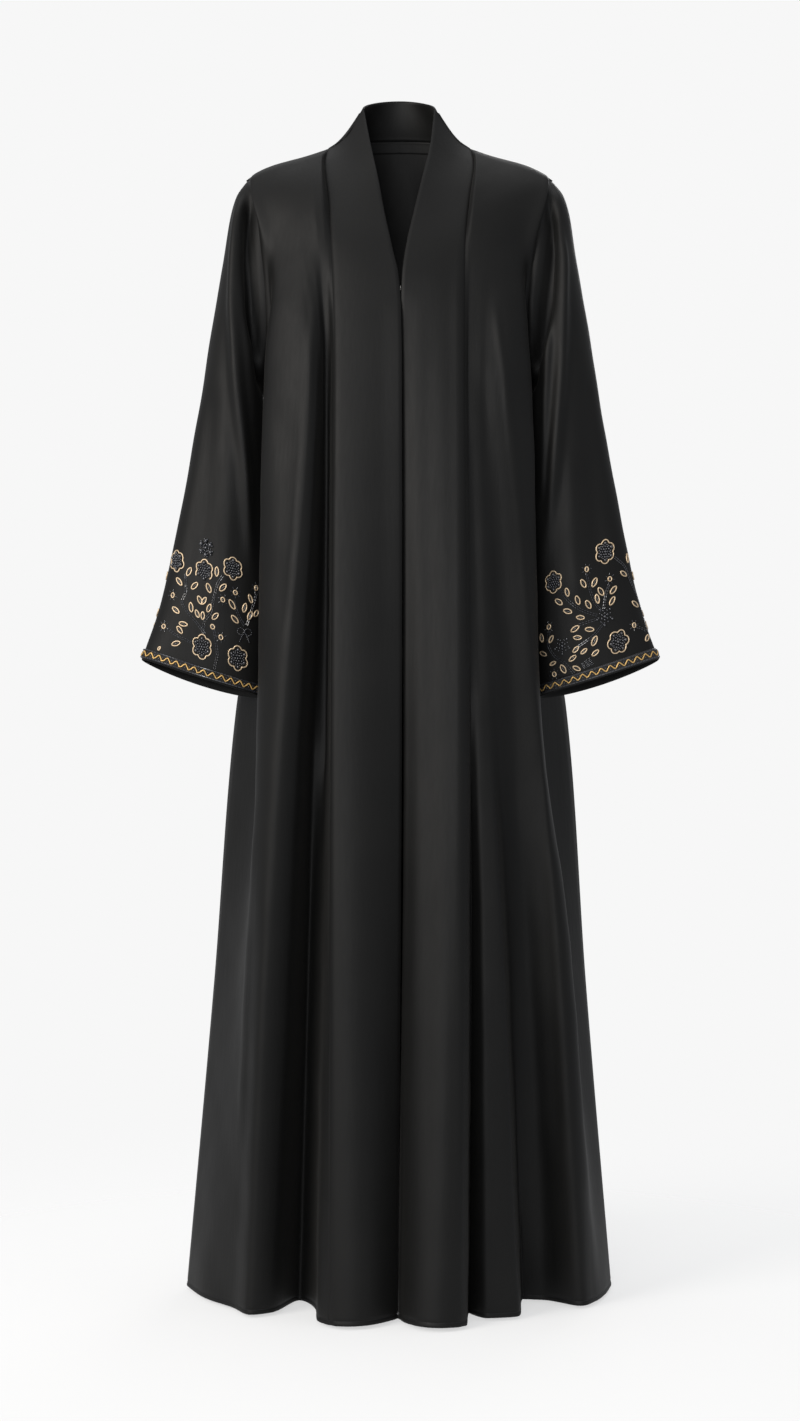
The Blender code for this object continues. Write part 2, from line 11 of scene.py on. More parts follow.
import bpy
import numpy as np
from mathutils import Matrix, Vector


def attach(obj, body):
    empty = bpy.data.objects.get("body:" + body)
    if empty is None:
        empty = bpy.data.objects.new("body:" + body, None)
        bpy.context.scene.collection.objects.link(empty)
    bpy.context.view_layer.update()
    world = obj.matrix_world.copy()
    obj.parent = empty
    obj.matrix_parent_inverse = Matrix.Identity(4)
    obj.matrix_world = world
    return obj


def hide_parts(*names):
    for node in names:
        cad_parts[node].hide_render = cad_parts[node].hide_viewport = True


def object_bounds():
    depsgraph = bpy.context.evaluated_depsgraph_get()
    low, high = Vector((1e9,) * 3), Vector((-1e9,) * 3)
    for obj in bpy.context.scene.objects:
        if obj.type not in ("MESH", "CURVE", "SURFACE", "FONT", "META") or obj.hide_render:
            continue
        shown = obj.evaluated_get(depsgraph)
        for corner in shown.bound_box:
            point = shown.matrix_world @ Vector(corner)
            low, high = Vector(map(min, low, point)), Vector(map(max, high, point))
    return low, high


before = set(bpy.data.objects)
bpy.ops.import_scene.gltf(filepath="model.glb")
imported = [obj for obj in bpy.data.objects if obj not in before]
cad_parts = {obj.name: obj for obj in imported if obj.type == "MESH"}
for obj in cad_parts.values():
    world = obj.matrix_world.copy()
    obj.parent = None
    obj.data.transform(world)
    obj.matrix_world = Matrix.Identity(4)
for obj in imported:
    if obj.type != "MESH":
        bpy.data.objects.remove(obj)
cad_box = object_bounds()

# ---- Camera -----------------------------------------------------------------------------------------------
# It stands level with the middle of the garment, as for a catalogue picture, and shows some floor and air
# above and below it.
CAMERA_DISTANCE = 3.2
CAMERA_HEIGHT = -0.667
SEEN_HEIGHT = 1.734
SENSOR = 36.0

camera = bpy.data.objects.new("camera", bpy.data.cameras.new("camera"))
camera.data.sensor_width = SENSOR
camera.data.lens = SENSOR * CAMERA_DISTANCE / SEEN_HEIGHT
camera.location = (0.0, -CAMERA_DISTANCE, CAMERA_HEIGHT)
camera.rotation_euler = (math.radians(90), 0.0, 0.0)
bpy.context.scene.collection.objects.link(camera)
bpy.context.scene.camera = camera


# ---- Studio -----------------------------------------------------------------------------------------------
# A pale paper floor that fades into a pale surround, a large soft light at the front on the wearer's right,
# a weak one on the left, smaller ones in front, behind and above, and an even glow from all round.
FLOOR_DROP = 0.004
FLOOR_REACH = 7.0
FADE_FROM = 0.7
FADE_TO = 2.0
BACKGROUND = "#f7f7f7"
FLOOR_PAPER = "#f4f4f4"
FLOOR_GLOW = 0.225
SURROUND_GLOW = "#f4f6fa"
SURROUND_STRENGTH = 0.43

Lamp = namedtuple("Lamp", "name place_at aim_at size power tint")
LAMPS = (
    Lamp("key", (-2.7, -2.6, 1.0), (0.0, 0.0, -0.4), (1.8, 2.0), 102.0, "#fffaf4"),
    Lamp("front", (-0.55, -3.6, 0.1), (0.0, 0.0, -0.4), (1.2, 1.2), 34.0, "#ffffff"),
    Lamp("fill", (2.8, -2.4, 0.2), (0.0, 0.0, -0.6), (1.5, 2.2), 3.0, "#f4f8ff"),
    Lamp("back", (0.9, 3.3, 0.9), (0.0, 0.0, -0.5), (1.6, 1.6), 26.0, "#ffffff"),
    Lamp("top", (0.0, 0.4, 2.6), (0.0, 0.0, -0.6), (2.4, 2.4), 25.0, "#ffffff"),
)


def colour(code):
    """A linear colour from an sRGB hex value."""
    parts = [int(code[i : i + 2], 16) / 255 for i in (1, 3, 5)]
    linear = [part / 12.92 if part <= 0.04045 else ((part + 0.055) / 1.055) ** 2.4 for part in parts]
    return (*linear, 1.0)


def add_node(tree, kind, inputs=None, **settings):
    """Adds a node. An input is a value, or the node or the output that is linked to it."""
    made = tree.nodes.new(kind)
    for name, value in settings.items():
        setattr(made, name, value)
    for key, value in (inputs or {}).items():
        if isinstance(value, bpy.types.Node):
            tree.links.new(value.outputs[0], made.inputs[key])
        elif isinstance(value, bpy.types.NodeSocket):
            tree.links.new(value, made.inputs[key])
        else:
            made.inputs[key].default_value = value
    return made


def new_material(name):
    """An empty material, its node tree, and the place of each point on its object."""
    material = bpy.data.materials.new(name)
    material.use_nodes = True
    tree = material.node_tree
    tree.nodes.clear()
    return material, tree, add_node(tree, "ShaderNodeTexCoord").outputs["Object"]


def floor_paper():
    """Matt pale paper, which thins out to nothing far from the middle."""
    material, tree, at = new_material("pale_floor_paper")
    far = add_node(tree, "ShaderNodeVectorMath", {0: at}, operation="LENGTH")
    fade = add_node(tree, "ShaderNodeMapRange",
                    {"Value": far.outputs["Value"], "From Min": FADE_FROM, "From Max": FADE_TO},
                    interpolation_type="SMOOTHSTEP")
    paper = add_node(tree, "ShaderNodeBsdfDiffuse", {"Color": colour(FLOOR_PAPER)})
    lit = add_node(tree, "ShaderNodeEmission", {"Color": colour(FLOOR_PAPER), "Strength": FLOOR_GLOW})
    bright = add_node(tree, "ShaderNodeAddShader", {0: paper, 1: lit})
    clear = add_node(tree, "ShaderNodeBsdfTransparent")
    mixed = add_node(tree, "ShaderNodeMixShader", {0: fade, 1: bright, 2: clear})
    add_node(tree, "ShaderNodeOutputMaterial", {"Surface": mixed})
    return material


def lay_floor():
    mesh = bpy.data.meshes.new("floor")
    height = cad_box[0].z - FLOOR_DROP
    ends = ((-1, -1), (1, -1), (1, 1), (-1, 1))
    corners = [(x * FLOOR_REACH, y * FLOOR_REACH, height) for x, y in ends]
    mesh.from_pydata(corners, [], [(0, 1, 2, 3)])
    mesh.materials.append(floor_paper())
    floor = bpy.data.objects.new("floor", mesh)
    bpy.context.scene.collection.objects.link(floor)


def hang_lamp(lamp):
    light = bpy.data.lights.new(lamp.name, "AREA")
    light.shape = "RECTANGLE"
    light.size, light.size_y = lamp.size
    light.energy = lamp.power
    light.color = colour(lamp.tint)[:3]
    hung = bpy.data.objects.new(lamp.name, light)
    hung.location = lamp.place_at
    direction = [end - start for end, start in zip(lamp.aim_at, lamp.place_at)]
    hung.rotation_euler = Vector(direction).to_track_quat("-Z", "Y").to_euler()
    bpy.context.scene.collection.objects.link(hung)


def light_surround():
    """The pale surround as the camera sees it, and a dimmer glow from it on the garment."""
    world = bpy.data.worlds.new("studio")
    world.use_nodes = True
    tree = world.node_tree
    tree.nodes.clear()
    seen = add_node(tree, "ShaderNodeBackground", {"Color": colour(BACKGROUND), "Strength": 1.0})
    glow = add_node(tree, "ShaderNodeBackground",
                    {"Color": colour(SURROUND_GLOW), "Strength": SURROUND_STRENGTH})
    path = add_node(tree, "ShaderNodeLightPath")
    mixed = add_node(tree, "ShaderNodeMixShader", {0: path.outputs["Is Camera Ray"], 1: glow, 2: seen})
    add_node(tree, "ShaderNodeOutputWorld", {"Surface": mixed})
    bpy.context.scene.world = world


lay_floor()
light_surround()
for lamp in LAMPS:
    hang_lamp(lamp)
bpy.context.scene.view_settings.view_transform = "Standard"


# ---- Back -------------------------------------------------------------------------------------------------
# One panel of black polyester crepe from the shoulder seams to the hem, cut full so that it hangs in soft
# folds below the shoulder blades. It is sewn to the fronts, the sleeves and the band, right sides together.
MM = 0.001
CLOTH_THICKNESS = 0.9
SEAM_REACH = 2.2
SEAM_STEP = 0.8
HEM_TURN = 5.0
HEM_EXTRA = 0.8
HEM_ROWS = (8.0, 6.0, HEM_TURN, 4.0, 2.5, 1.0, 0.0)
HEM_ROW_GAP = 1.5
HEM_TOLERANCE = 0.1
HEM_DENT = 0.55
HEM_DENT_WIDTH = 1.3
HEM_BULGE = 0.35
HEM_BULGE_FROM_EDGE = 2.0
HEM_BULGE_WIDTH = 2.0
EDGE_ROUNDING = 0.35
SEAM_PUCKER = 0.25
SEAM_PUCKER_SPAN = 30.0
FLAT_BESIDE_SEAM = 25.0

CHEST_Z = -120.0
UNDERARM_Z = -270.0
CUFF_Z = -660.0
SKIRT_Z = -950.0
HEM_Z = -1371.0
SHOULDER_AHEAD = -5.0
NECK_POINT_Z = 19.5
SHOULDER_TIP_Z = -19.5
NECK_POINT_X = {"right": -87.8, "left": 86.0}
SHOULDER_TIP_X = {"right": -188.0, "left": 186.5}
SHOULDER_ROUNDING = 6.0
SHOULDER_ROLL_DROP = 10.0
SHOULDER_ROLL_REACH = 22.0
BACK_NECK_DEPTH = 70.0
BACK_NECK_RISE = 24.9
ARMHOLE_REACH = {"front": 53.0, "back": -57.0}
BLADE_AHEAD = -100.0
ARM_BLADE_AHEAD = -60.0
FINE_ROWS = 8
UPPER_STEPS = 12 * FINE_ROWS
SKIRT_STEPS = 16 * FINE_ROWS
SKIRT_ROW_GROWTH = 1.2

Mark = namedtuple("Mark", "z x ahead")
SIDE_SEAM = {
    "right": (
        Mark(UNDERARM_Z, -167, SHOULDER_AHEAD),
        Mark(-330, -150, -18),
        Mark(-450, -156, -44),
        Mark(CUFF_Z, -202, -42),
        Mark(-1000, -229, -32),
        Mark(HEM_Z, -261, -12),
    ),
    "left": (
        Mark(UNDERARM_Z, 160, SHOULDER_AHEAD),
        Mark(-330, 142, -18),
        Mark(-450, 149, -44),
        Mark(CUFF_Z, 205, -42),
        Mark(-1000, 229, -32),
        Mark(HEM_Z, 259, -16),
    ),
}

# Width of the armhole seam by its turn, from the shoulder tip (0) to the underarm (180 degrees).
Turn = namedtuple("Turn", "angle x")
ARMHOLE = {
    "right": (Turn(0, -185.5), Turn(60, -171), Turn(110, -161.5), Turn(150, -162), Turn(180, -167)),
    "left": (Turn(0, 184), Turn(60, 168), Turn(110, 154), Turn(150, 155.5), Turn(180, 160)),
}

# Creases in the cloth: each runs down a path of x and z on one face of the garment, reaches so far to each
# side, and stands out or is pressed in. At both ends it dies away, over one part in CREASE_ENDS of its path.
# Cloth belongs to the face where it leans that way by CREASE_FACE_LEAN or more, and any other is FAR_OFF.
Crease = namedtuple("Crease", "name face path reach out")
CREASE_ENDS = 5
CREASE_PATH_STEPS = 6
CREASE_FACE_LEAN = 0.1
FAR_OFF = 1e4
BACK_CREASES = (
    Crease("drag from the right armhole", "back", ((-168, -150), (-140, -215), (-118, -300)), 9, -2.2),
    Crease("drag from the left armhole", "back", ((166, -140), (142, -205), (122, -310)), 9, -2.2),
    Crease("ridge over the right blade", "back", ((-88, -90), (-84, -200), (-92, -380)), 12, 2.0),
    Crease("ridge over the left blade", "back", ((84, -80), (80, -190), (90, -360)), 12, 2.0),
    Crease("small fold, right", "back", ((-128, -420), (-150, -620), (-160, -800)), 8, -2.5),
    Crease("small fold, left", "back", ((126, -400), (149, -600), (162, -820)), 8, -2.5),
    Crease("small fold below the waist", "back", ((14, -520), (20, -700), (18, -960)), 8, 2.2),
)
# The back has lines at even steps, with the side seams and both neck points among them.
BackFold = namedtuple(
    "BackFold", "name x_arm ahead_arm x_cuff ahead_cuff x_skirt ahead_skirt x_hem ahead_hem")
BACK_FOLDS = (
    BackFold("right side crest", -149, -62, -178, -96, -194, -106, -213, -108),
    BackFold("right side valley", -126, -88, -140, -92, -152, -84, -172, -72),
    BackFold("right crest", -95, -102, -108, -128, -116, -146, -128, -168),
    BackFold("right valley", -64, -107, -72, -110, -80, -110, -92, -112),
    BackFold("right middle crest", -32, -110, -38, -136, -43, -166, -50, -201),
    BackFold("middle valley", 1, -109, 0, -118, -3, -122, -6, -132),
    BackFold("left middle crest", 33, -110, 36, -138, 38, -162, 41, -192),
    BackFold("left valley", 64, -107, 71, -112, 78, -113, 88, -118),
    BackFold("left crest", 95, -102, 107, -127, 117, -148, 131, -172),
    BackFold("left side valley", 125, -88, 141, -93, 152, -88, 168, -80),
    BackFold("left side crest", 143, -62, 178, -95, 196, -107, 216, -112),
)
BACK_SIDE_STEPS = 6
BACK_NECK_STEPS = 3
BACK_COLUMNS_BETWEEN = 10
PANEL_CREASES_CLEAR = 5.0
PANEL_SWAY = 0.5
PANEL_SWAY_SPAN = 55.0


def through(keys, values, at):
    """Points at the keys `at` on a smooth curve through the values, which never swings past them."""
    keys = np.asarray(keys, float)
    values = np.asarray(values, float).reshape(len(keys), -1)
    step = np.diff(keys)[:, None]
    slope = np.diff(values, axis=0) / step
    tangent = np.zeros_like(values)
    tangent[0] = slope[0]
    tangent[-1] = slope[-1]
    before, after = slope[:-1], slope[1:]
    same_way = before * after > 0
    weight = (step[1:] * 2 + step[:-1], step[1:] + step[:-1] * 2)
    with np.errstate(divide="ignore", invalid="ignore"):
        mean = (weight[0] + weight[1]) / (weight[0] / before + weight[1] / after)
    tangent[1:-1] = np.where(same_way, mean, 0.0)
    at = np.asarray(at, float)
    index = np.clip(np.searchsorted(keys, at, side="right") - 1, 0, len(keys) - 2)
    width = step[index]
    t = ((at - keys[index])[:, None]) / width
    return (
        values[index] * (1 + 2 * t) * (1 - t) ** 2
        + tangent[index] * width * t * (1 - t) ** 2
        + values[index + 1] * t**2 * (3 - 2 * t)
        + tangent[index + 1] * width * t**2 * (t - 1)
    )


def table_at(rows, names, heights, key="z"):
    """Columns of a table of named rows at these heights, on smooth curves through the rows."""
    drops = [-getattr(row, key) for row in rows]
    values = [[getattr(row, name) for name in names.split()] for row in rows]
    return through(drops, values, -heights).T


def place(x, ahead, z):
    return np.stack(np.broadcast_arrays(x, -np.asarray(ahead, float), z), axis=-1).astype(float)


def run_along(points, axis=0):
    """How far along its line each point of a grid is, with the lines along this axis."""
    steps = np.linalg.norm(np.diff(points, axis=axis), axis=-1)
    start = np.zeros_like(np.take(steps, [0], axis=axis))
    return np.concatenate([start, np.cumsum(steps, axis=axis)], axis=axis)


def row_heights(top):
    """Heights of the rows of a line that starts at `top`: a round armhole's steps, then the skirt's."""
    turn = np.linspace(0, math.pi, UPPER_STEPS + 1)
    upper = top + (1 - np.cos(turn)) / 2 * (UNDERARM_Z - top)
    share = (np.arange(1, SKIRT_STEPS + 1) / SKIRT_STEPS) ** SKIRT_ROW_GROWTH
    skirt = UNDERARM_Z + share * (HEM_Z - UNDERARM_Z)
    hem = HEM_Z + np.array(HEM_ROWS)
    return np.concatenate([upper, skirt[skirt > hem[0] + HEM_ROW_GAP], hem])


def marked_line(marks, heights):
    x, ahead = table_at(marks, "x ahead", heights)
    return place(x, ahead, heights)


def side_line(side, face):
    """The armhole seam from the shoulder tip to the underarm, and then the side seam down to the hem."""
    rows = UPPER_STEPS + 1
    angle = np.linspace(0, 180, rows)
    turns = ARMHOLE[side]
    x = through([turn.angle for turn in turns], [turn.x for turn in turns], angle)[:, 0]
    ahead = SHOULDER_AHEAD + ARMHOLE_REACH[face] * np.sin(np.radians(angle))
    heights = row_heights(SHOULDER_TIP_Z)
    armhole = place(x, ahead, heights[:rows])
    return np.vstack([armhole, marked_line(SIDE_SEAM[side], heights[rows:])])


def at_height(line, height):
    """Where a line of points, running down, is at one height: its x and its ahead."""
    x = np.interp(-height, -line[:, 2], line[:, 0])
    return x, -np.interp(-height, -line[:, 2], line[:, 1])


def shoulder_point(side, along):
    """A point of the shoulder seam, which rounds over the shoulder on its way to the tip."""
    x = NECK_POINT_X[side] + along * (SHOULDER_TIP_X[side] - NECK_POINT_X[side])
    straight_z = NECK_POINT_Z + along * (SHOULDER_TIP_Z - NECK_POINT_Z)
    return place(x, SHOULDER_AHEAD, straight_z + SHOULDER_ROUNDING * math.sin(math.pi * along**2))


def round_neck(turn, x_right, x_left, ahead, z, depth, rise):
    """A point of a line round the back of the neck, from its right end (0) to its left one (180)."""
    turn = math.radians(turn)
    share = (1 - math.cos(turn)) / 2
    x = x_right * (1 - share) + x_left * share
    return place(x, ahead - depth * math.sin(turn), z + rise * math.sin(turn))


def neck_point(turn):
    """A point of the neck seam round the back."""
    return round_neck(turn, NECK_POINT_X["right"], NECK_POINT_X["left"], SHOULDER_AHEAD, NECK_POINT_Z,
                      BACK_NECK_DEPTH, BACK_NECK_RISE)


def fold_line(fold, top, chest, roll):
    """One lengthwise line of a panel, through its places at the shoulder, chest, underarm, cuff and hem."""
    rows = [
        (top[2], top[0], -top[1]),
        (top[2] - SHOULDER_ROLL_DROP, top[0], -top[1] + roll),
        (CHEST_Z, *chest),
        (UNDERARM_Z, fold.x_arm, fold.ahead_arm),
        (CUFF_Z, fold.x_cuff, fold.ahead_cuff),
        (SKIRT_Z, fold.x_skirt, fold.ahead_skirt),
        (HEM_Z, fold.x_hem, fold.ahead_hem),
    ]
    if not roll:
        del rows[1]
    heights = row_heights(top[2])
    table = np.array(rows, float)
    x, ahead = through(-table[:, 0], table[:, 1:], -heights).T
    return place(x, ahead, heights)


def panel_between(lines, steps_between):
    """A grid of rows and columns, smooth from line to line across each row."""
    lines = np.array(lines)
    steps = (len(lines) - 1) * steps_between
    grid = []
    for row in lines.transpose(1, 0, 2):
        spans = np.sqrt(np.linalg.norm(np.diff(row, axis=0), axis=1))
        keys = np.concatenate([[0], np.cumsum(spans)])
        at = np.interp(np.linspace(0, len(lines) - 1, steps + 1), np.arange(len(lines)), keys)
        grid.append(through(keys, row, at))
    return np.array(grid)


def back_top(step):
    """A point on the back's top edge; the steps run from the right shoulder tip (-6) to the left one (6)."""
    side = "right" if step < 0 else "left"
    if abs(step) >= BACK_NECK_STEPS:
        return shoulder_point(side, (abs(step) - BACK_NECK_STEPS) / BACK_NECK_STEPS)
    return neck_point((step + BACK_NECK_STEPS) / (2 * BACK_NECK_STEPS) * 180)


def back_panel():
    right = side_line("right", "back")
    left = side_line("left", "back")
    lines = [right]
    for number, fold in enumerate(BACK_FOLDS):
        step = number + 1 - BACK_SIDE_STEPS
        across = abs(step) / BACK_SIDE_STEPS
        side = right if step < 0 else left
        chest_x = across * at_height(side, CHEST_Z)[0]
        chest_ahead = ARM_BLADE_AHEAD + (BLADE_AHEAD - ARM_BLADE_AHEAD) * (1 - across**2)
        roll = -SHOULDER_ROLL_REACH if abs(step) >= BACK_NECK_STEPS else 0.0
        lines.append(fold_line(fold, back_top(step), (chest_x, chest_ahead), roll))
    lines.append(left)
    grid = panel_between(lines[::-1], BACK_COLUMNS_BETWEEN)
    columns = grid.shape[1]
    exact = np.array([back_top(step) for step in np.linspace(BACK_SIDE_STEPS, -BACK_SIDE_STEPS, columns)])
    missed = exact - grid[0]
    rows = UPPER_STEPS + 1
    drop = (1 - np.cos(np.linspace(0, math.pi, rows))) / 2
    grid[:rows] += missed[None] * ((1 - drop) ** 3)[:, None, None]
    return grid


def grid_normals(grid, around=False):
    """Unit normals of a grid, down the rows by across the columns, which may be closed round."""
    if around:
        across = np.roll(grid, -1, axis=1) - np.roll(grid, 1, axis=1)
    else:
        across = np.gradient(grid, axis=1)
    down = np.gradient(grid, axis=0)
    normals = np.cross(down, across)
    return normals / np.maximum(np.linalg.norm(normals, axis=2, keepdims=True), 1e-9)


def edge_distances(grid):
    """How far each point of a grid is from its top, bottom, first and last edge, along the cloth."""
    down = run_along(grid)
    across = run_along(grid, 1)
    return {"top": down, "bottom": down[-1:] - down, "first": across, "last": across[:, -1:] - across}


def rows_at(grid, distances):
    """Rows at these distances down the cloth from a grid's first row, with all that the points carry."""
    run = run_along(grid[..., :3])
    rows = np.empty((len(distances), *grid.shape[1:]))
    for column in range(grid.shape[1]):
        for value in range(grid.shape[2]):
            rows[:, column, value] = np.interp(distances, run[:, column], grid[:, column, value])
    return rows


def clear_of(distance, reach):
    """0 at a seam, and 1 well clear of it."""
    return 1 - np.exp(-((distance / reach) ** 2))


def ease(share):
    """Eases a share between 0 and 1 in and out."""
    return share * share * (3 - 2 * share)


def hem_shape(from_edge):
    """A turned and stitched hem: a dent along the stitching, and a slight bulge at the edge."""
    bulge = HEM_BULGE * np.exp(-(((from_edge - HEM_BULGE_FROM_EDGE) / HEM_BULGE_WIDTH) ** 2))
    return bulge - HEM_DENT * np.exp(-(((from_edge - HEM_TURN) / HEM_DENT_WIDTH) ** 2))


def uneven(grid, amount, span):
    """Slight unevenness of hanging cloth, with waves of about `span` millimetres that never quite repeat."""
    x, y, z = (grid / span).transpose(2, 0, 1)
    waves = np.sin(2.1 * x + 1.3 * z + 0.7) * np.sin(0.9 * z - 1.7 * y + 2.0)
    waves += 0.6 * np.sin(3.7 * x - 2.2 * z + 4.1) * np.sin(1.6 * z + 2.9 * y)
    return amount * waves


def hang(grid, from_seam, from_hem, sway, span, pucker=0.0):
    """How far cloth stands out: it is pulled in along its seams, uneven between them, and turned at a hem."""
    rise = SEAM_STEP * clear_of(from_seam, SEAM_REACH) * (1 + uneven(grid, pucker, SEAM_PUCKER_SPAN))
    rise += uneven(grid, sway, span) * np.clip(from_seam / FLAT_BESIDE_SEAM, 0, 1)
    return rise + hem_shape(from_hem)


def creases_at(grid, creases, around=False):
    """How far soft creases move each point of a grid."""
    normals = grid_normals(grid, around)
    out = np.zeros(grid.shape[:2])
    for crease in creases:
        facing = -normals[..., 1] if crease.face == "front" else normals[..., 1]
        path = []
        for x, z in crease.path:
            off = np.hypot(grid[..., 0] - x, grid[..., 2] - z) + FAR_OFF * ~(facing > CREASE_FACE_LEAN)
            path.append(grid.reshape(-1, 3)[np.argmin(off)])
        keys = np.linspace(0, 1, len(path))
        line = through(keys, np.array(path), np.linspace(0, 1, CREASE_PATH_STEPS * len(path)))
        nearest = np.full(grid.shape[:2], np.inf)
        share = np.zeros(grid.shape[:2])
        for step, (start, end) in enumerate(zip(line[:-1], line[1:])):
            run = end - start
            along = np.clip((grid - start) @ run / (run @ run), 0, 1)
            gap = np.linalg.norm(grid - start - along[..., None] * run, axis=2)
            share = np.where(gap < nearest, (step + along) / (len(line) - 1), share)
            nearest = np.minimum(nearest, gap)
        fading = ease(np.clip(np.minimum(share, 1 - share) * CREASE_ENDS, 0, 1))
        out += crease.out * fading * np.exp(-((nearest / crease.reach) ** 2))
    return out


def press(grid, creases, from_seam, clear, around=False):
    """A grid with its creases pressed in, except along a seam."""
    pressed = creases_at(grid, creases, around) * clear_of(from_seam, clear)
    return grid + grid_normals(grid, around) * pressed[..., None]


def cloth_mesh(name, outer, inner, around):
    """A closed thin shell between two grids of points, with slightly rounded edges."""
    rows, columns = outer.shape[:2]
    index = np.arange(rows * columns).reshape(rows, columns)
    if around:
        loops = [index[0], index[-1, ::-1]]
        index = np.hstack([index, index[:, :1]])
    else:
        loops = [np.concatenate([index[0, :-1], index[:-1, -1], index[-1, :0:-1], index[:0:-1, 0]])]
    points = [outer.reshape(-1, 3), inner.reshape(-1, 3)]
    inward = np.zeros_like(outer)
    inward[0] += outer[1] - outer[0]
    inward[-1] += outer[-2] - outer[-1]
    if not around:
        inward[:, 0] += outer[:, 1] - outer[:, 0]
        inward[:, -1] += outer[:, -2] - outer[:, -1]
    inward = inward.reshape(-1, 3)
    half = rows * columns
    corners = [index[:-1, :-1], index[1:, :-1], index[1:, 1:], index[:-1, 1:]]
    corners = np.stack(corners, axis=-1).reshape(-1, 4)
    faces = [corners, corners[:, ::-1] + half]
    start = 2 * half
    for loop in loops:
        middle = (points[0][loop] + points[1][loop]) / 2
        away = -inward[loop]
        away /= np.maximum(np.linalg.norm(away, axis=1, keepdims=True), 1e-9)
        wall = np.linalg.norm(points[0][loop] - points[1][loop], axis=1, keepdims=True)
        points.append(middle + away * wall * EDGE_ROUNDING)
        rim = start + np.arange(len(loop))
        start += len(loop)
        following, rim_next = np.roll(loop, -1), np.roll(rim, -1)
        faces.append(np.stack([loop, following, rim_next, rim], axis=-1))
        faces.append(np.stack([rim, rim_next, following + half, loop + half], axis=-1))
    mesh = bpy.data.meshes.new(name)
    everything = np.concatenate(points) * MM
    mesh.from_pydata(everything.tolist(), [], np.concatenate(faces).tolist())
    mesh.update()
    mesh.shade_smooth()
    return mesh


def add_piece(name, mesh, material, slot, *nodes):
    """Adds a finished mesh as a piece of the garment, in place of the solids that it stands for."""
    mesh.name = name
    if not mesh.materials:
        mesh.materials.append(material)
    piece = bpy.data.objects.new(name, mesh)
    bpy.context.scene.collection.objects.link(piece)
    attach(piece, "root")
    if nodes:
        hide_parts(*nodes)
    return piece


def add_cloth(name, outer, normals, thickness, material, slot, *nodes, around=False):
    """Adds a piece of cloth, whose inner face lies this far below the outer one."""
    mesh = cloth_mesh(name, outer, outer - normals * thickness, around)
    return add_piece(name, mesh, material, slot, *nodes)


def crepe():
    """Black polyester crepe, woven from twisted yarn: soft and nearly matt, with a faint sheen on its folds.

    The grain is 1.1 mm wide and the yarn's slubs are 4 mm wide and 33 mm long, which is two or three times
    as coarse as real ones, so that they show. The dye varies over some 70 mm.
    """
    material, tree, at = new_material("black_crepe_cloth")
    grain = add_node(tree, "ShaderNodeTexNoise", {"Vector": at, "Scale": 900.0, "Detail": 2.0})
    slub_at = add_node(tree, "ShaderNodeMapping", {"Vector": at, "Scale": (260.0, 260.0, 30.0)})
    slub = add_node(tree, "ShaderNodeTexNoise", {"Vector": slub_at, "Scale": 1.0, "Detail": 2.0})
    cloud = add_node(tree, "ShaderNodeTexNoise", {"Vector": at, "Scale": 14.0, "Detail": 3.0})
    tint = add_node(tree, "ShaderNodeMix",
                    {0: cloud, 6: colour("#0e0e0e"), 7: colour("#141413")}, data_type="RGBA")
    rough = add_node(tree, "ShaderNodeMapRange", {"Value": slub, "To Min": 0.50, "To Max": 0.60})
    fine = add_node(tree, "ShaderNodeBump", {"Height": grain, "Strength": 0.25, "Distance": 0.0004})
    bumped = add_node(tree, "ShaderNodeBump",
                      {"Height": slub, "Strength": 0.2, "Distance": 0.0006,
                       "Normal": fine})
    shader = add_node(tree, "ShaderNodeBsdfPrincipled",
                      {"Base Color": tint.outputs[2], "Roughness": rough, "IOR": 1.45,
                       "Specular IOR Level": 0.25, "Sheen Weight": 0.04, "Sheen Roughness": 0.45,
                       "Sheen Tint": colour("#dddad4"), "Normal": bumped})
    add_node(tree, "ShaderNodeOutputMaterial", {"Surface": shader})
    return material


def make_panel(name, grid, node, creases):
    """A flat-cut panel with its seams pressed in at the top and both sides, and its hem turned."""
    distance = edge_distances(grid)
    from_seam = np.minimum.reduce([distance[edge] for edge in ("top", "first", "last")])
    grid = press(grid, creases, from_seam, PANEL_CREASES_CLEAR)
    normals = grid_normals(grid)
    rise = hang(grid, from_seam, distance["bottom"], PANEL_SWAY, PANEL_SWAY_SPAN, SEAM_PUCKER)
    outer = grid + normals * rise[..., None]
    thickness = CLOTH_THICKNESS + HEM_EXTRA * (distance["bottom"] <= HEM_TURN + HEM_TOLERANCE)
    piece = add_cloth(name, outer, normals, thickness[..., None], CREPE, "black_crepe", node)
    return outer, normals


CREPE = crepe()
back_surface = make_panel("back_panel", back_panel(), "back", BACK_CREASES)


# ---- Fronts -----------------------------------------------------------------------------------------------
# Two panels of the same crepe, from the shoulder seams to the hem. Each hangs from the shoulder beside the
# band in deep lengthwise folds, and joins the back at the side seam.
CHEST_AHEAD = 82.0
CHEST_FULLNESS = 8.0
FRONT_COLUMNS_BETWEEN = 9

BAND_SEAM = {
    "right": (
        Mark(NECK_POINT_Z, NECK_POINT_X["right"], SHOULDER_AHEAD),
        Mark(0, -91.5, 15),
        Mark(-50, -86.5, 48),
        Mark(CHEST_Z, -81.5, CHEST_AHEAD),
        Mark(UNDERARM_Z, -77.7, 112),
        Mark(CUFF_Z, -79.8, 150),
        Mark(HEM_Z, -81, 196),
    ),
    "left": (
        Mark(NECK_POINT_Z, NECK_POINT_X["left"], SHOULDER_AHEAD),
        Mark(0, 90, 15),
        Mark(-50, 84, 48),
        Mark(CHEST_Z, 77.7, CHEST_AHEAD),
        Mark(UNDERARM_Z, 76.9, 112),
        Mark(CUFF_Z, 79, 150),
        Mark(HEM_Z, 76, 199),
    ),
}
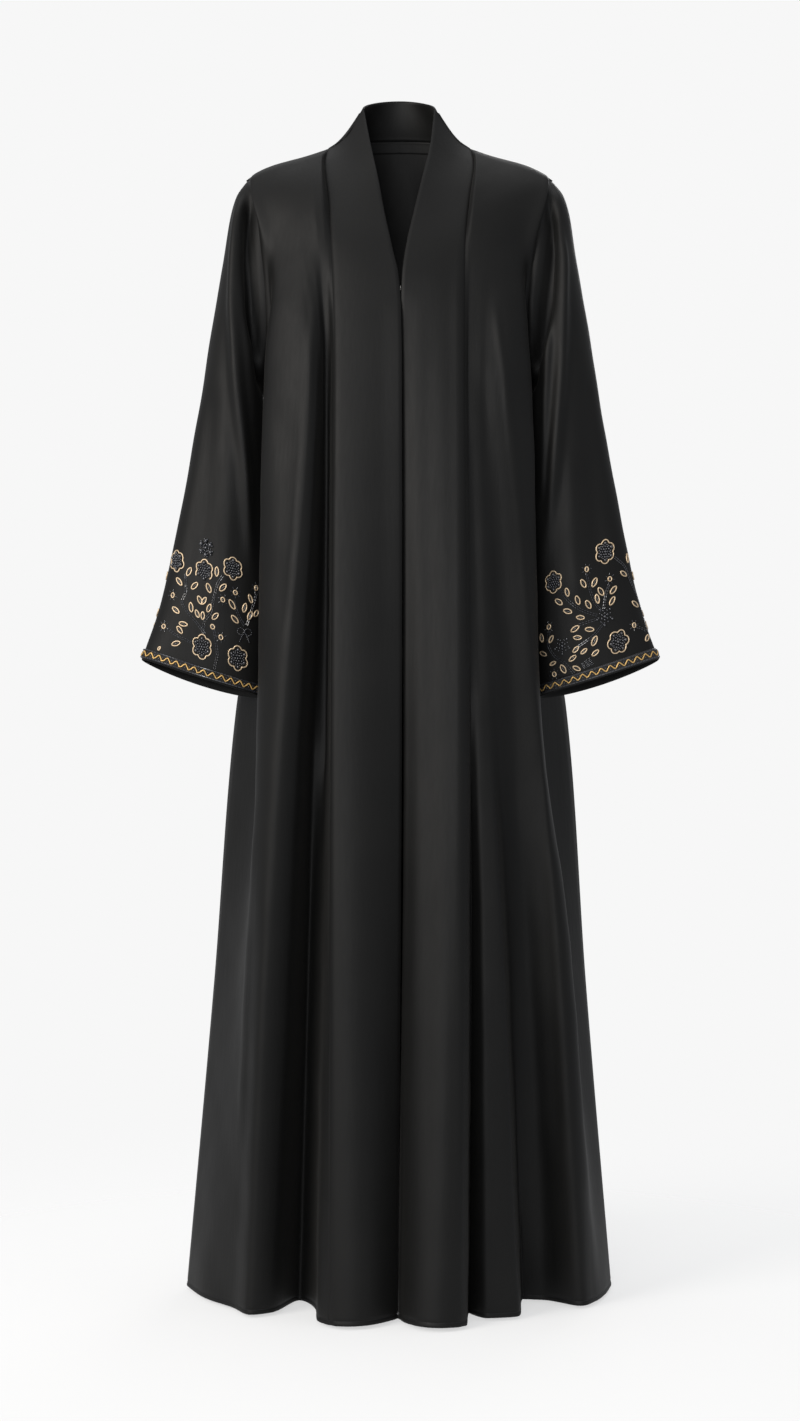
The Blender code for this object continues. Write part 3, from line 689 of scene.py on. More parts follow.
# Lengthwise fold lines: "along" counts on the shoulder seam, from the neck point (0) to the tip (1).
Fold = namedtuple("Fold", "name along x_arm ahead_arm x_cuff ahead_cuff x_skirt ahead_skirt x_hem ahead_hem")
FRONT_FOLDS = {
    "right": (
        Fold("lip beside the band", 0.09, -82, 101, -82, 123, -86, 146, -95, 172),
        Fold("tuck under the lip", 0.17, -87, 97, -88, 103, -93, 115, -98, 119),
        Fold("valley", 0.26, -93, 105, -100, 106, -108, 90, -120, 67),
        Fold("inner slope", 0.36, -99.5, 112.5, -118, 140.5, -130, 139, -151, 132),
        Fold("crest", 0.47, -107, 115, -136, 148, -155, 151, -174, 143),
        Fold("edge over the sleeve", 0.80, -161, 81, -168, 107, -174, 124, -198, 106),
        Fold("pocket behind the edge", 0.93, -149, 48, -154, 52, -190, 50, -238, 48),
    ),
    "left": (
        Fold("tuck beside the band", 0.07, 80.5, 106, 82.5, 139, 83, 139, 80, 134),
        Fold("inner crest", 0.15, 86, 106, 91, 139, 98, 152, 101, 160),
        Fold("lapping edge", 0.24, 93, 106, 102, 137, 118, 148, 138, 150),
        Fold("valley behind the lap", 0.35, 102, 105, 114, 129, 128, 106, 147, 62),
        Fold("side slope", 0.47, 113, 105, 133, 118, 150, 94, 172, 66),
        Fold("side crest", 0.60, 124, 104, 160, 114, 186, 110, 214, 96),
        Fold("edge over the sleeve", 0.82, 155.5, 78, 166, 96, 202, 90, 232, 74),
        Fold("pocket behind the edge", 0.93, 140, 46, 150, 50, 192, 46, 246, 40),
    ),
}
FRONT_CREASES = {
    "right": (
        Crease("ridge from the bust", "front",
               ((-102, -170), (-107, -270), (-120, -420), (-134, -640)), 5, 1.6),
        Crease("trough beside the band", "front",
               ((-87, -190), (-87, -330), (-89, -520), (-94, -760)), 8, -3.0),
        Crease("soft trough outside the ridge", "front",
               ((-130, -300), (-136, -430), (-146, -600)), 12, -2.0),
        Crease("drag below the armhole", "front", ((-148, -228), (-152, -270), (-157, -312)), 4, -1.4),
        Crease("faint fold of the skirt", "front", ((-168, -760), (-178, -960), (-188, -1200)), 10, 2.0),
    ),
    "left": (
        Crease("ridge from the bust", "front", ((110, -170), (123, -270), (140, -430), (156, -620)), 5, 1.6),
        Crease("trough before the ridge", "front", ((96, -250), (108, -420), (118, -620)), 10, -2.5),
        Crease("drag below the armhole", "front", ((146, -215), (148, -262), (151, -318)), 5, -1.6),
        Crease("faint fold of the skirt", "front", ((166, -800), (178, -1000), (190, -1230)), 9, -2.0),
    ),
}


def band_seam(side):
    return marked_line(BAND_SEAM[side], row_heights(NECK_POINT_Z))


def front_panel(side):
    seam = band_seam(side)
    outer = side_line(side, "front")
    seam_x, seam_ahead = at_height(seam, CHEST_Z)
    arm_x, arm_ahead = at_height(outer, CHEST_Z)
    lines = [seam]
    for fold in FRONT_FOLDS[side]:
        share = fold.along
        fullness = CHEST_FULLNESS * 4 * share * (1 - share)
        chest_x = seam_x + share * (arm_x - seam_x)
        chest_ahead = seam_ahead + share * (arm_ahead - seam_ahead) + fullness
        top = shoulder_point(side, share)
        lines.append(fold_line(fold, top, (chest_x, chest_ahead), SHOULDER_ROLL_REACH))
    lines.append(outer)
    return panel_between(lines if side == "left" else lines[::-1], FRONT_COLUMNS_BETWEEN)


front_surfaces = {}
for side in ("right", "left"):
    front_surfaces[side] = make_panel("front_panel_" + side, front_panel(side), "front_" + side,
                                      FRONT_CREASES[side])


# ---- Band -------------------------------------------------------------------------------------------------
# A doubled strip of crepe with a woven stiffener inside. It edges both fronts from hem to neck and runs on
# round the neck as a standing collar. It is sewn on along one side, and its other side is a folded edge.
BAND_THICKNESS = 2.2
BAND_COLUMNS = 18
COLLAR_BACK_DEPTH = 57.0
COLLAR_BACK_RISE = 21.7

# Free edges of the band. Each row goes with the height of the band seam across from it.
Edge = namedtuple("Edge", "seam_z z ahead x_right x_left")
FREE_EDGE = (
    Edge(NECK_POINT_Z, 69, -8, -45, 42.8),
    Edge(0, 24, 18, -37.2, 38),
    Edge(-50, -27, 47, -27, 27),
    Edge(-90, -71, 67, -19.3, 17),
    Edge(-130, -116, 86, -10, 7.5),
    Edge(-163, -153, 97.5, -2.2, 2.9),
    Edge(-198, -189, 102.5, 0.5, 1.8),
    Edge(UNDERARM_Z, -270, 113, 1.5, 2.7),
    Edge(CUFF_Z, -660, 137, 1.6, 2.8),
    Edge(HEM_Z, -1371, 163, -3.0, -5.4),
)
# How far the band swells out of the straight line between its two edges.
Swell = namedtuple("Swell", "z out_right out_left")
BAND_SWELL = (
    Swell(NECK_POINT_Z, -6, -6),
    Swell(CHEST_Z, 2, 2),
    Swell(CUFF_Z, 7, 9),
    Swell(HEM_Z, 21, 31),
)
BACK_COLLAR_SWELL = -1.5
SWELL_SKEW = 0.75

# Below the hook the left edge is tucked a little behind the right one, which rolls forward at the chest.
# The roll dies away over this width of the band.
ROLL_WIDTH = 25.0
Roll = namedtuple("Roll", "z out_right out_left")
EDGE_ROLL = (
    Roll(-174, 0, 0),
    Roll(-205, 1.8, -2.2),
    Roll(-400, 2.0, -3.2),
    Roll(-800, 0, -3.8),
    Roll(-1371, 0, -3.6),
)
BAND_CREASES_CLEAR = 4.0
BAND_SWAY = 0.3
BAND_SWAY_SPAN = 60.0
BAND_CREASES = (
    Crease("trough of the left band", "front",
           ((31, -150), (33, -330), (34, -600), (35, -900), (36, -1150), (36, -1360)), 12, -1.6),
    Crease("ridge beside the left seam", "front",
           ((72, -60), (70, -200), (70, -500), (70, -800), (69, -1100), (68, -1360)), 6.5, 1.9),
)


def free_edge(side):
    z, x, ahead = table_at(FREE_EDGE, "z x_" + side + " ahead", row_heights(NECK_POINT_Z), "seam_z")
    return place(x, ahead, z)


def collar_edge(turn):
    top = FREE_EDGE[0]
    return round_neck(turn, top.x_right, top.x_left, top.ahead, top.z, COLLAR_BACK_DEPTH, COLLAR_BACK_RISE)


def band_swell(side):
    return table_at(BAND_SWELL, "out_" + side, row_heights(NECK_POINT_Z))[0]


def band_grid():
    """The band from the left hem, up and round the neck, and down to the right hem."""
    neck_turns = np.linspace(180, 0, BACK_NECK_STEPS * 2 * BACK_COLUMNS_BETWEEN + 1)[1:-1]
    seam = np.vstack([band_seam("left")[::-1], [neck_point(turn) for turn in neck_turns], band_seam("right")])
    collar = [collar_edge(turn) for turn in neck_turns]
    edge = np.vstack([free_edge("left")[::-1], collar, free_edge("right")])
    side_swell = BAND_SWELL[0].out_right
    back_swell = side_swell + (BACK_COLLAR_SWELL - side_swell) * np.sin(np.radians(neck_turns))
    swell = np.concatenate([band_swell("left")[::-1], back_swell, band_swell("right")])
    across = np.linspace(0, 1, BAND_COLUMNS + 1)
    flat = seam[:, None] * (1 - across)[None, :, None] + edge[:, None] * across[None, :, None]
    arch = np.sin(math.pi * across**SWELL_SKEW)
    return flat + grid_normals(flat) * (swell[:, None] * arch[None])[..., None]


def edge_roll(grid, from_edge):
    """How far the band's free edge rolls forward, or is tucked back."""
    heights = np.clip(grid[:, -1, 2], EDGE_ROLL[-1].z, EDGE_ROLL[0].z)
    right, left = table_at(EDGE_ROLL, "out_right out_left", heights)
    roll = np.where(grid[:, 0, 0] > 0, left, right)
    return roll[:, None] * ease(np.clip(1 - from_edge / ROLL_WIDTH, 0, 1))


def make_band():
    grid = band_grid()
    normals = grid_normals(grid)
    distance = edge_distances(grid)
    from_seam = distance["first"]
    rise = hang(grid, from_seam, np.minimum(distance["top"], distance["bottom"]), BAND_SWAY, BAND_SWAY_SPAN)
    rise += creases_at(grid, BAND_CREASES) * clear_of(from_seam, BAND_CREASES_CLEAR)
    rise += edge_roll(grid, distance["last"])
    outer = grid + normals * rise[..., None]
    piece = add_cloth("band", outer, normals, BAND_THICKNESS, CREPE, "black_crepe", "front_band")
    return outer, normals


band_surface = make_band()

# Inside the neck the trimmed edges of the seam are overlocked together and lie flat against the back.
ALLOWANCE_COLUMNS = (4 * BACK_COLUMNS_BETWEEN, 8 * BACK_COLUMNS_BETWEEN + 1)
ALLOWANCE_FROM = 1.6
ALLOWANCE_TO = 16.0
ALLOWANCE_THICKNESS = 0.6
ALLOWANCE_BELOW = 0.15
ALLOWANCE_ROWS = 8


def make_neck_allowance():
    first, last = ALLOWANCE_COLUMNS
    back = np.concatenate(back_surface, axis=2)[:, first:last]
    rows = rows_at(back, np.linspace(ALLOWANCE_FROM, ALLOWANCE_TO, ALLOWANCE_ROWS))
    points, normals = rows[..., :3], rows[..., 3:]
    outer = points - normals * (CLOTH_THICKNESS + ALLOWANCE_BELOW)
    piece = add_cloth("neck_allowance", outer, normals, ALLOWANCE_THICKNESS, CREPE, "black_crepe")


make_neck_allowance()


# ---- Sleeves ----------------------------------------------------------------------------------------------
# Each sleeve is one panel of crepe, seamed under the arm, set into its armhole and flared towards the cuff.
# The shoulder's fullness folds over beside the armhole seam, and the cuff's edge is turned and stitched.
SLEEVE_COLUMNS = 2 * UPPER_STEPS
SLEEVE_ROWS = 150
SLEEVE_ROW_GROWTH = 0.9
SLEEVE_CREASES_CLEAR = 4.0
SLEEVE_SWAY = 0.5
SLEEVE_SWAY_SPAN = 50.0

# Rings of the right sleeve from its cap to its cuff; the left sleeve has them mirrored.
Ring = namedtuple("Ring", "name x_outer z_outer x_inner x_inner_left z_inner ahead half_depth back_drop sag")
SLEEVE_RINGS = (
    Ring("cap", -199, -42, -167, -161, -286, 1, 56, 0, 0),
    Ring("upper arm", -215, -130, -161, -149, -325, 13, 50, 0, 0),
    Ring("elbow", -244, -310, -159, -148, -425, 25, 42, 0, 0),
    Ring("forearm", -273, -470, -161, -157, -540, 31, 34, 2, 1),
    Ring("flare", -290, -545, -165, -163, -597, 34, 30, 4, 3),
    Ring("cuff", -311, -606, -168, -168, -651, 35, 27, 5, 4),
)
SLEEVE_CREASES = {
    "right": (
        Crease("edge over the front", "front",
               ((-189, -34), (-194, -64), (-198, -110), (-200, -174),
                (-196, -270), (-185, -390), (-176, -520)), 7, 7.5),
        Crease("trough beside the edge", "front",
               ((-185, -30), (-184, -70), (-182, -120),
                (-175, -180), (-169, -235), (-166, -290)), 11, -18.0),
        Crease("trough by the elbow", "front", ((-226, -260), (-232, -380), (-244, -520)), 14, -3.0),
        Crease("soft ridge of the forearm", "front", ((-205, -340), (-208, -440), (-216, -560)), 11, 2.0),
        Crease("edge over the back", "back",
               ((-196, -50), (-201, -110), (-204, -200), (-203, -310), (-206, -440)), 10, 6.0),
        Crease("trough behind the armhole", "back",
               ((-187, -50), (-184, -120), (-176, -200), (-170, -290), (-168, -380)), 11, -9.0),
        Crease("fold of the cuff", "back", ((-222, -380), (-236, -500), (-252, -620)), 13, -3.5),
    ),
    "left": (
        Crease("edge over the front", "front",
               ((185, -28), (189, -50), (192, -90), (195, -130),
                (193, -234), (184, -366), (174, -500)), 7, 7.5),
        Crease("trough beside the edge", "front",
               ((182, -26), (183, -70), (181, -114), (175, -165),
                (169, -210), (165, -250), (163, -290)), 11, -18.0),
        Crease("second edge over the front", "front",
               ((179, -190), (175, -270), (172, -350), (170, -430)), 5, 3.0),
        Crease("trough by the elbow", "front", ((224, -250), (228, -380), (240, -520)), 14, -3.0),
        Crease("soft ridge of the forearm", "front", ((202, -340), (204, -440), (212, -560)), 11, 2.0),
        Crease("edge over the back", "back",
               ((190, -46), (197, -100), (200, -200), (198, -310), (200, -430)), 10, 6.0),
        Crease("trough behind the armhole", "back",
               ((184, -46), (181, -120), (173, -210), (166, -300), (163, -380)), 11, -9.0),
        Crease("fold of the cuff", "back", ((218, -400), (232, -520), (246, -630)), 13, -3.5),
    ),
}


def sleeve_ring(ring, side):
    """One ring: it turns from the outer line (0) over the front (90) and the inner line (180) to the back."""
    mirror, inner = (1, ring.x_inner) if side == "right" else (-1, ring.x_inner_left)
    turn = np.linspace(0, 2 * math.pi, SLEEVE_COLUMNS + 1)[:-1]
    outward = (1 + np.cos(turn)) / 2
    x = inner + outward * (ring.x_outer - inner)
    z = ring.z_inner + outward * (ring.z_outer - ring.z_inner)
    z = z + ring.back_drop * np.sin(turn) - ring.sag * np.sin(turn) ** 2
    return place(mirror * x, ring.ahead + ring.half_depth * np.sin(turn), z)


def sleeve_grid(side):
    """The sleeve's rows of points, closed round, with columns from the outer line over the front."""
    front = side_line(side, "front")[: UPPER_STEPS + 1]
    back = side_line(side, "back")[1:UPPER_STEPS][::-1]
    stations = np.array([np.vstack([front, back])] + [sleeve_ring(ring, side) for ring in SLEEVE_RINGS])
    keys = run_along(stations).mean(axis=1)
    at = np.linspace(0, 1, SLEEVE_ROWS + 1) ** SLEEVE_ROW_GROWTH * keys[-1]
    return np.stack([through(keys, stations[:, i], at) for i in range(stations.shape[1])], axis=1)


def make_sleeve(side):
    grid = sleeve_grid(side)
    if side == "left":
        grid = grid[:, ::-1]
    distance = edge_distances(np.concatenate([grid, grid[:, :1]], axis=1))
    from_seam, from_hem = distance["top"][:, :-1], distance["bottom"][:, :-1]
    grid = press(grid, SLEEVE_CREASES[side], from_seam, SLEEVE_CREASES_CLEAR, True)
    normals = grid_normals(grid, True)
    outer = grid + normals * hang(grid, from_seam, from_hem, SLEEVE_SWAY, SLEEVE_SWAY_SPAN)[..., None]
    piece = add_cloth("sleeve_panel_" + side, outer, normals, CLOTH_THICKNESS, CREPE, "black_crepe",
                      "sleeve_" + side, around=True)
    if side == "left":
        outer, normals = outer[:, ::-1], normals[:, ::-1]
    return outer, normals


sleeve_surfaces = {side: make_sleeve(side) for side in ("right", "left")}


# ---- Cuff borders -----------------------------------------------------------------------------------------
# A flat black braid is sewn round each cuff. Along both its edges runs a row of black bugle beads, and a
# twisted gold cord is sewn down between them in a zigzag, with a round bead in every bend.
CHART_HEIGHT = 190
BRAID_FROM = 1.4
BRAID_TO = 13.6
BRAID_RISE = 1.3
BRAID_CREST_POWER = 6
BRAID_LIFT = 0.15
BRAID_THICKNESS = 1.0
BRAID_ROWS = 11
BUGLE_ROWS = (2.9, 12.1)
BUGLE_ROW_POINTS = 300
BUGLE_LENGTH = 3.5
BUGLE_PITCH = 4.1
BUGLE_RADIUS = 0.85
BUGLE_VARIETY = (0.88, 1.06)
BUGLE_SIDES = 6
ZIGZAG_MIDDLE = 7.5
ZIGZAG_SWING = 2.9
ZIGZAG_WAVE = 11.5
ZIGZAG_STEPS = 12
ZIGZAG_SHARPNESS = 0.94
ZIGZAG_RADIUS = 0.95
ZIGZAG_CORD_STEP = 0.6
ZIGZAG_CORD_TWIST = 4.0
CORD_HOLLOW = 0.72
BEND_BEAD = 0.9
BEND_BEAD_OFFSET = 1.3
# How high the middles of cord and beads lie on the braid, in radii: what is less than 1 sinks into it.
ZIGZAG_LIFT = 0.9
BUGLE_LIFT = 0.6
BEND_BEAD_LIFT = 0.7

# The lower part of a sleeve laid out flat, with the middle of its front in each row, and its sense of turn.
Chart = namedtuple("Chart", "points normals rounds middle turned")


def lay_out(side, outer, normals):
    """The lower part of a sleeve laid out: rows at each millimetre above its edge, columns right round it."""
    both = np.concatenate([outer, normals], axis=2)[::-1]
    rows = rows_at(both, np.arange(CHART_HEIGHT + 1.0))
    rows = np.concatenate([rows, rows[:, :1]], axis=1)
    points, normals = rows[..., :3], rows[..., 3:]
    rounds = run_along(points, 1)
    middle = rounds[:, both.shape[1] // 4]
    return Chart(points, normals, rounds, middle, 1 if side == "right" else -1)


def on_sleeve(chart, flat, lift):
    """Puts flat points on a sleeve: how far across from the middle of its front, and up from its edge."""
    placed = []
    columns = np.arange(chart.rounds.shape[1])
    for across, up in flat:
        low = int(min(max(up, 0), CHART_HEIGHT - 1))
        ends = []
        for row in (low, low + 1):
            run = (chart.middle[row] + chart.turned * across) % chart.rounds[row, -1]
            column = np.interp(run, chart.rounds[row], columns)
            first = min(int(column), len(columns) - 2)
            share = column - first
            point = chart.points[row, first] * (1 - share) + chart.points[row, first + 1] * share
            normal = chart.normals[row, first] * (1 - share) + chart.normals[row, first + 1] * share
            ends.append(point + normal / np.linalg.norm(normal) * lift)
        placed.append(ends[0] + (ends[1] - ends[0]) * (up - low))
    return np.array(placed)


def ring_round(chart, up, count):
    """Flat points right round a sleeve at one height."""
    length = chart.rounds[int(up), -1]
    return [(length * step / count, up) for step in range(count)]


def new_tree(name, *sizes):
    """A node tree with its named sizes and a material to choose."""
    tree = bpy.data.node_groups.new(name, "GeometryNodeTree")
    tree.interface.new_socket("Geometry", in_out="INPUT", socket_type="NodeSocketGeometry")
    for size in sizes:
        tree.interface.new_socket(size, in_out="INPUT", socket_type="NodeSocketFloat")
    tree.interface.new_socket("Finish", in_out="INPUT", socket_type="NodeSocketMaterial")
    tree.interface.new_socket("Geometry", in_out="OUTPUT", socket_type="NodeSocketGeometry")
    return tree, tree.nodes.new("NodeGroupInput").outputs


def end_tree(tree, given, grown, smooth):
    """Ends a tree with what it has grown, made real and given its finish."""
    shaded = add_node(tree, "GeometryNodeSetShadeSmooth", {"Geometry": grown, "Shade Smooth": smooth})
    real = add_node(tree, "GeometryNodeRealizeInstances", {"Geometry": shaded})
    finished = add_node(tree, "GeometryNodeSetMaterial", {"Geometry": real, "Material": given["Finish"]})
    add_node(tree, "NodeGroupOutput", {"Geometry": finished})
    return tree


def even_curve(tree, given, spacing):
    """The lines that a tree is given, as curves with points at an even spacing."""
    line = add_node(tree, "GeometryNodeMeshToCurve", {"Mesh": given["Geometry"]})
    return add_node(tree, "GeometryNodeResampleCurve", {"Curve": line, "Length": given[spacing]},
                    mode="LENGTH")


def twisted_cord():
    """Lines become cord laid of three strands: the profile has three lobes and turns along the line."""
    tree, given = new_tree("twisted_cord", "Radius", "Step", "Twist")
    even = even_curve(tree, given, "Step")
    along = add_node(tree, "GeometryNodeSplineParameter")
    turns = add_node(tree, "ShaderNodeMath",
                     {0: along.outputs["Length"], 1: given["Twist"]}, operation="DIVIDE")
    angle = add_node(tree, "ShaderNodeMath", {0: turns, 1: 2 * math.pi}, operation="MULTIPLY")
    tilted = add_node(tree, "GeometryNodeSetCurveTilt", {"Curve": even, "Tilt": angle})
    hollow = add_node(tree, "ShaderNodeMath", {0: given["Radius"], 1: CORD_HOLLOW}, operation="MULTIPLY")
    lobes = add_node(tree, "GeometryNodeCurveStar",
                     {"Points": 3, "Inner Radius": hollow, "Outer Radius": given["Radius"]})
    swept = add_node(tree, "GeometryNodeCurveToMesh",
                     {"Curve": tilted, "Profile Curve": lobes, "Fill Caps": True})
    return end_tree(tree, given, swept, True)


def row_of_rods():
    """Short rods, such as bugle beads or stitches, threaded one after another along each line."""
    tree, given = new_tree("row_of_rods", "Radius", "Length", "Pitch")
    even = even_curve(tree, given, "Pitch")
    tangent = add_node(tree, "GeometryNodeInputTangent")
    turned = add_node(tree, "FunctionNodeAlignRotationToVector", {"Vector": tangent}, axis="Z")
    vary = add_node(tree, "FunctionNodeRandomValue",
                    {"Min": BUGLE_VARIETY[0], "Max": BUGLE_VARIETY[1], "Seed": 5}, data_type="FLOAT")
    rod = add_node(tree, "GeometryNodeMeshCylinder",
                   {"Vertices": BUGLE_SIDES, "Radius": given["Radius"], "Depth": given["Length"]})
    placed = add_node(tree, "GeometryNodeInstanceOnPoints",
                      {"Points": even, "Instance": rod,
                       "Rotation": turned, "Scale": vary.outputs[1]})
    return end_tree(tree, given, placed, False)


def sewn_beads():
    """A round bead on every point, with the radius that the point carries."""
    tree, given = new_tree("sewn_beads")
    size = add_node(tree, "GeometryNodeInputNamedAttribute", {"Name": "bead_radius"}, data_type="FLOAT")
    points = add_node(tree, "GeometryNodeMeshToPoints", {"Mesh": given["Geometry"]})
    bead = add_node(tree, "GeometryNodeMeshIcoSphere", {"Radius": 1.0, "Subdivisions": 2})
    placed = add_node(tree, "GeometryNodeInstanceOnPoints",
                      {"Points": points, "Instance": bead, "Scale": size})
    return end_tree(tree, given, placed, True)


def grow_piece(tree, base, finish, slot="beaded_border", **sizes):
    """Runs a tree on a base mesh, and adds what it makes as the piece that the base is named for."""
    name = base.name
    carrier = bpy.data.objects.new(name, base)
    bpy.context.scene.collection.objects.link(carrier)
    modifier = carrier.modifiers.new("nodes", "NODES")
    modifier.node_group = tree
    for item in tree.interface.items_tree:
        if item.name == "Finish":
            modifier[item.identifier] = finish
        elif item.name in sizes:
            modifier[item.identifier] = sizes[item.name] * MM
    evaluated = carrier.evaluated_get(bpy.context.evaluated_depsgraph_get())
    made = bpy.data.meshes.new_from_object(evaluated)
    bpy.data.objects.remove(carrier)
    add_piece(name, made, finish, slot)


def line_mesh(name, lines):
    """A mesh of bare edges along lines of points. A line is (points, closed)."""
    points, edges = [], []
    for line, closed in lines:
        start = len(points)
        points.extend((np.asarray(line) * MM).tolist())
        count = len(line)
        edges += [(start + i, start + (i + 1) % count) for i in range(count if closed else count - 1)]
    mesh = bpy.data.meshes.new(name)
    mesh.from_pydata(points, edges, [])
    return mesh


def bead_mesh(name, points, radii):
    mesh = bpy.data.meshes.new(name)
    mesh.from_pydata((np.asarray(points) * MM).tolist(), [], [])
    sizes = mesh.attributes.new("bead_radius", "FLOAT", "POINT")
    sizes.data.foreach_set("value", np.asarray(radii, dtype=np.float32) * MM)
    return mesh


def gold_cord(name, pale):
    """Gold metallic thread laid into a cord: it catches light in warm points and goes brown between them.

    The film on the thread glints in spots 0.7 mm wide, twice as coarse as real ones, so that they show.
    """
    material, tree, at = new_material(name)
    strand = add_node(tree, "ShaderNodeTexNoise", {"Vector": at, "Scale": 1400.0, "Detail": 2.0})
    tint = add_node(tree, "ShaderNodeMix",
                    {0: strand, 6: colour(pale), 7: colour("#c99c5c")}, data_type="RGBA")
    rough = add_node(tree, "ShaderNodeMapRange", {"Value": strand, "To Min": 0.28, "To Max": 0.5})
    bumped = add_node(tree, "ShaderNodeBump", {"Height": strand, "Strength": 0.4, "Distance": 0.0003})
    shader = add_node(tree, "ShaderNodeBsdfPrincipled",
                      {"Base Color": tint.outputs[2], "Roughness": rough, "Metallic": 0.45,
                       "Normal": bumped})
    add_node(tree, "ShaderNodeOutputMaterial", {"Surface": shader})
    return material


def black_glass():
    """Black glass beads: deep blue-black, each with one or two sharp glints.

    They come from mixed batches, so the tint and the polish vary over 3 mm, from bead to bead.
    """
    material, tree, at = new_material("black_glass_beads")
    batch = add_node(tree, "ShaderNodeTexNoise", {"Vector": at, "Scale": 350.0})
    tint = add_node(tree, "ShaderNodeMix",
                    {0: batch, 6: colour("#0d0e13"), 7: colour("#3a3c44")}, data_type="RGBA")
    rough = add_node(tree, "ShaderNodeMapRange", {"Value": batch, "To Min": 0.14, "To Max": 0.34})
    shader = add_node(tree, "ShaderNodeBsdfPrincipled",
                      {"Base Color": tint.outputs[2], "Roughness": rough, "IOR": 1.55,
                       "Specular IOR Level": 0.9, "Coat Weight": 0.6, "Coat Roughness": 0.05})
    add_node(tree, "ShaderNodeOutputMaterial", {"Surface": shader})
    return material


def braid_weave():
    """Flat black braid, woven on the slant of strands 0.8 mm apart, and slightly shinier than the crepe."""
    material, tree, at = new_material("black_braid")
    slant = add_node(tree, "ShaderNodeMapping", {"Vector": at, "Rotation": (0.6, 0.7, 0.4)})
    weave = add_node(tree, "ShaderNodeTexWave",
                     {"Vector": slant, "Scale": 380.0, "Distortion": 1.5, "Detail": 1.0})
    bumped = add_node(tree, "ShaderNodeBump",
                      {"Height": weave.outputs["Fac"], "Strength": 0.5, "Distance": 0.0004})
    tint = add_node(tree, "ShaderNodeMix",
                    {0: weave.outputs["Fac"], 6: colour("#0b0b0c"), 7: colour("#191819")}, data_type="RGBA")
    shader = add_node(tree, "ShaderNodeBsdfPrincipled",
                      {"Base Color": tint.outputs[2], "Roughness": 0.5, "Normal": bumped})
    add_node(tree, "ShaderNodeOutputMaterial", {"Surface": shader})
    return material


CORD_TREE = twisted_cord()
ROD_TREE = row_of_rods()
BEAD_TREE = sewn_beads()
BRIGHT_GOLD = gold_cord("bright_gold_cord", "#f3cd80")
PALE_GOLD = gold_cord("pale_gold_cord", "#fff2da")
GLASS = black_glass()
BRAID = braid_weave()


def add_braid(side, chart):
    """The braid, slightly crowned between its two edges."""
    across = chart.points.shape[1] - 1
    outer = []
    for share in np.linspace(1, 0, BRAID_ROWS):
        up = BRAID_FROM + share * (BRAID_TO - BRAID_FROM)
        rise = BRAID_RISE * (1 - abs(2 * share - 1) ** BRAID_CREST_POWER) + BRAID_LIFT
        outer.append(on_sleeve(chart, ring_round(chart, up, across), rise))
    outer = np.array(outer)
    if side == "left":
        outer = outer[:, ::-1]
    piece = add_cloth("cuff_braid_" + side, outer, grid_normals(outer, True), BRAID_THICKNESS, BRAID,
                      "beaded_border", "cuff_border_" + side, around=True)


def add_zigzag(side, chart):
    """The gold zigzag with a round bead in each bend, and the two rows of bugle beads."""
    length = chart.rounds[int(ZIGZAG_MIDDLE), -1]
    waves = round(length / ZIGZAG_WAVE)
    steps = np.arange(waves * ZIGZAG_STEPS)
    turns = steps * (2 * math.pi) / ZIGZAG_STEPS
    swing = np.arcsin(ZIGZAG_SHARPNESS * np.sin(turns)) / math.asin(ZIGZAG_SHARPNESS)
    line = np.stack([steps * length / len(steps), ZIGZAG_MIDDLE + ZIGZAG_SWING * swing], axis=1)
    placed = on_sleeve(chart, line, BRAID_RISE + ZIGZAG_RADIUS * ZIGZAG_LIFT)
    grow_piece(CORD_TREE, line_mesh("zigzag_cord_" + side, [(placed, True)]), BRIGHT_GOLD,
               Radius=ZIGZAG_RADIUS, Step=ZIGZAG_CORD_STEP, Twist=ZIGZAG_CORD_TWIST)
    rows = []
    for up in BUGLE_ROWS:
        flat = ring_round(chart, up, BUGLE_ROW_POINTS)
        rows.append((on_sleeve(chart, flat, BRAID_RISE + BUGLE_RADIUS * BUGLE_LIFT), True))
    grow_piece(ROD_TREE, line_mesh("bugle_rows_" + side, rows), GLASS,
               Radius=BUGLE_RADIUS, Length=BUGLE_LENGTH, Pitch=BUGLE_PITCH)
    bends = [((wave + part) * length / waves, ZIGZAG_MIDDLE + offset) for wave in range(waves)
             for part, offset in ((0.25, -BEND_BEAD_OFFSET), (0.75, BEND_BEAD_OFFSET))]
    placed = on_sleeve(chart, bends, BRAID_RISE + BEND_BEAD * BEND_BEAD_LIFT)
    grow_piece(BEAD_TREE, bead_mesh("bend_beads_" + side, placed, [BEND_BEAD] * len(placed)), GLASS)


charts = {side: lay_out(side, *sleeve_surfaces[side]) for side in ("right", "left")}
for side, chart in charts.items():
    add_braid(side, chart)
    add_zigzag(side, chart)


# ---- Embroidery -------------------------------------------------------------------------------------------
# Flowers, leaves and small blossoms are outlined in pale gold cord that is sewn down by hand. They are filled
# with black glass beads, and joined by stems of bugle beads in double rows.
CORD_RADIUS = 0.92
CORD_STEP = 0.7
CORD_TWIST = 3.6
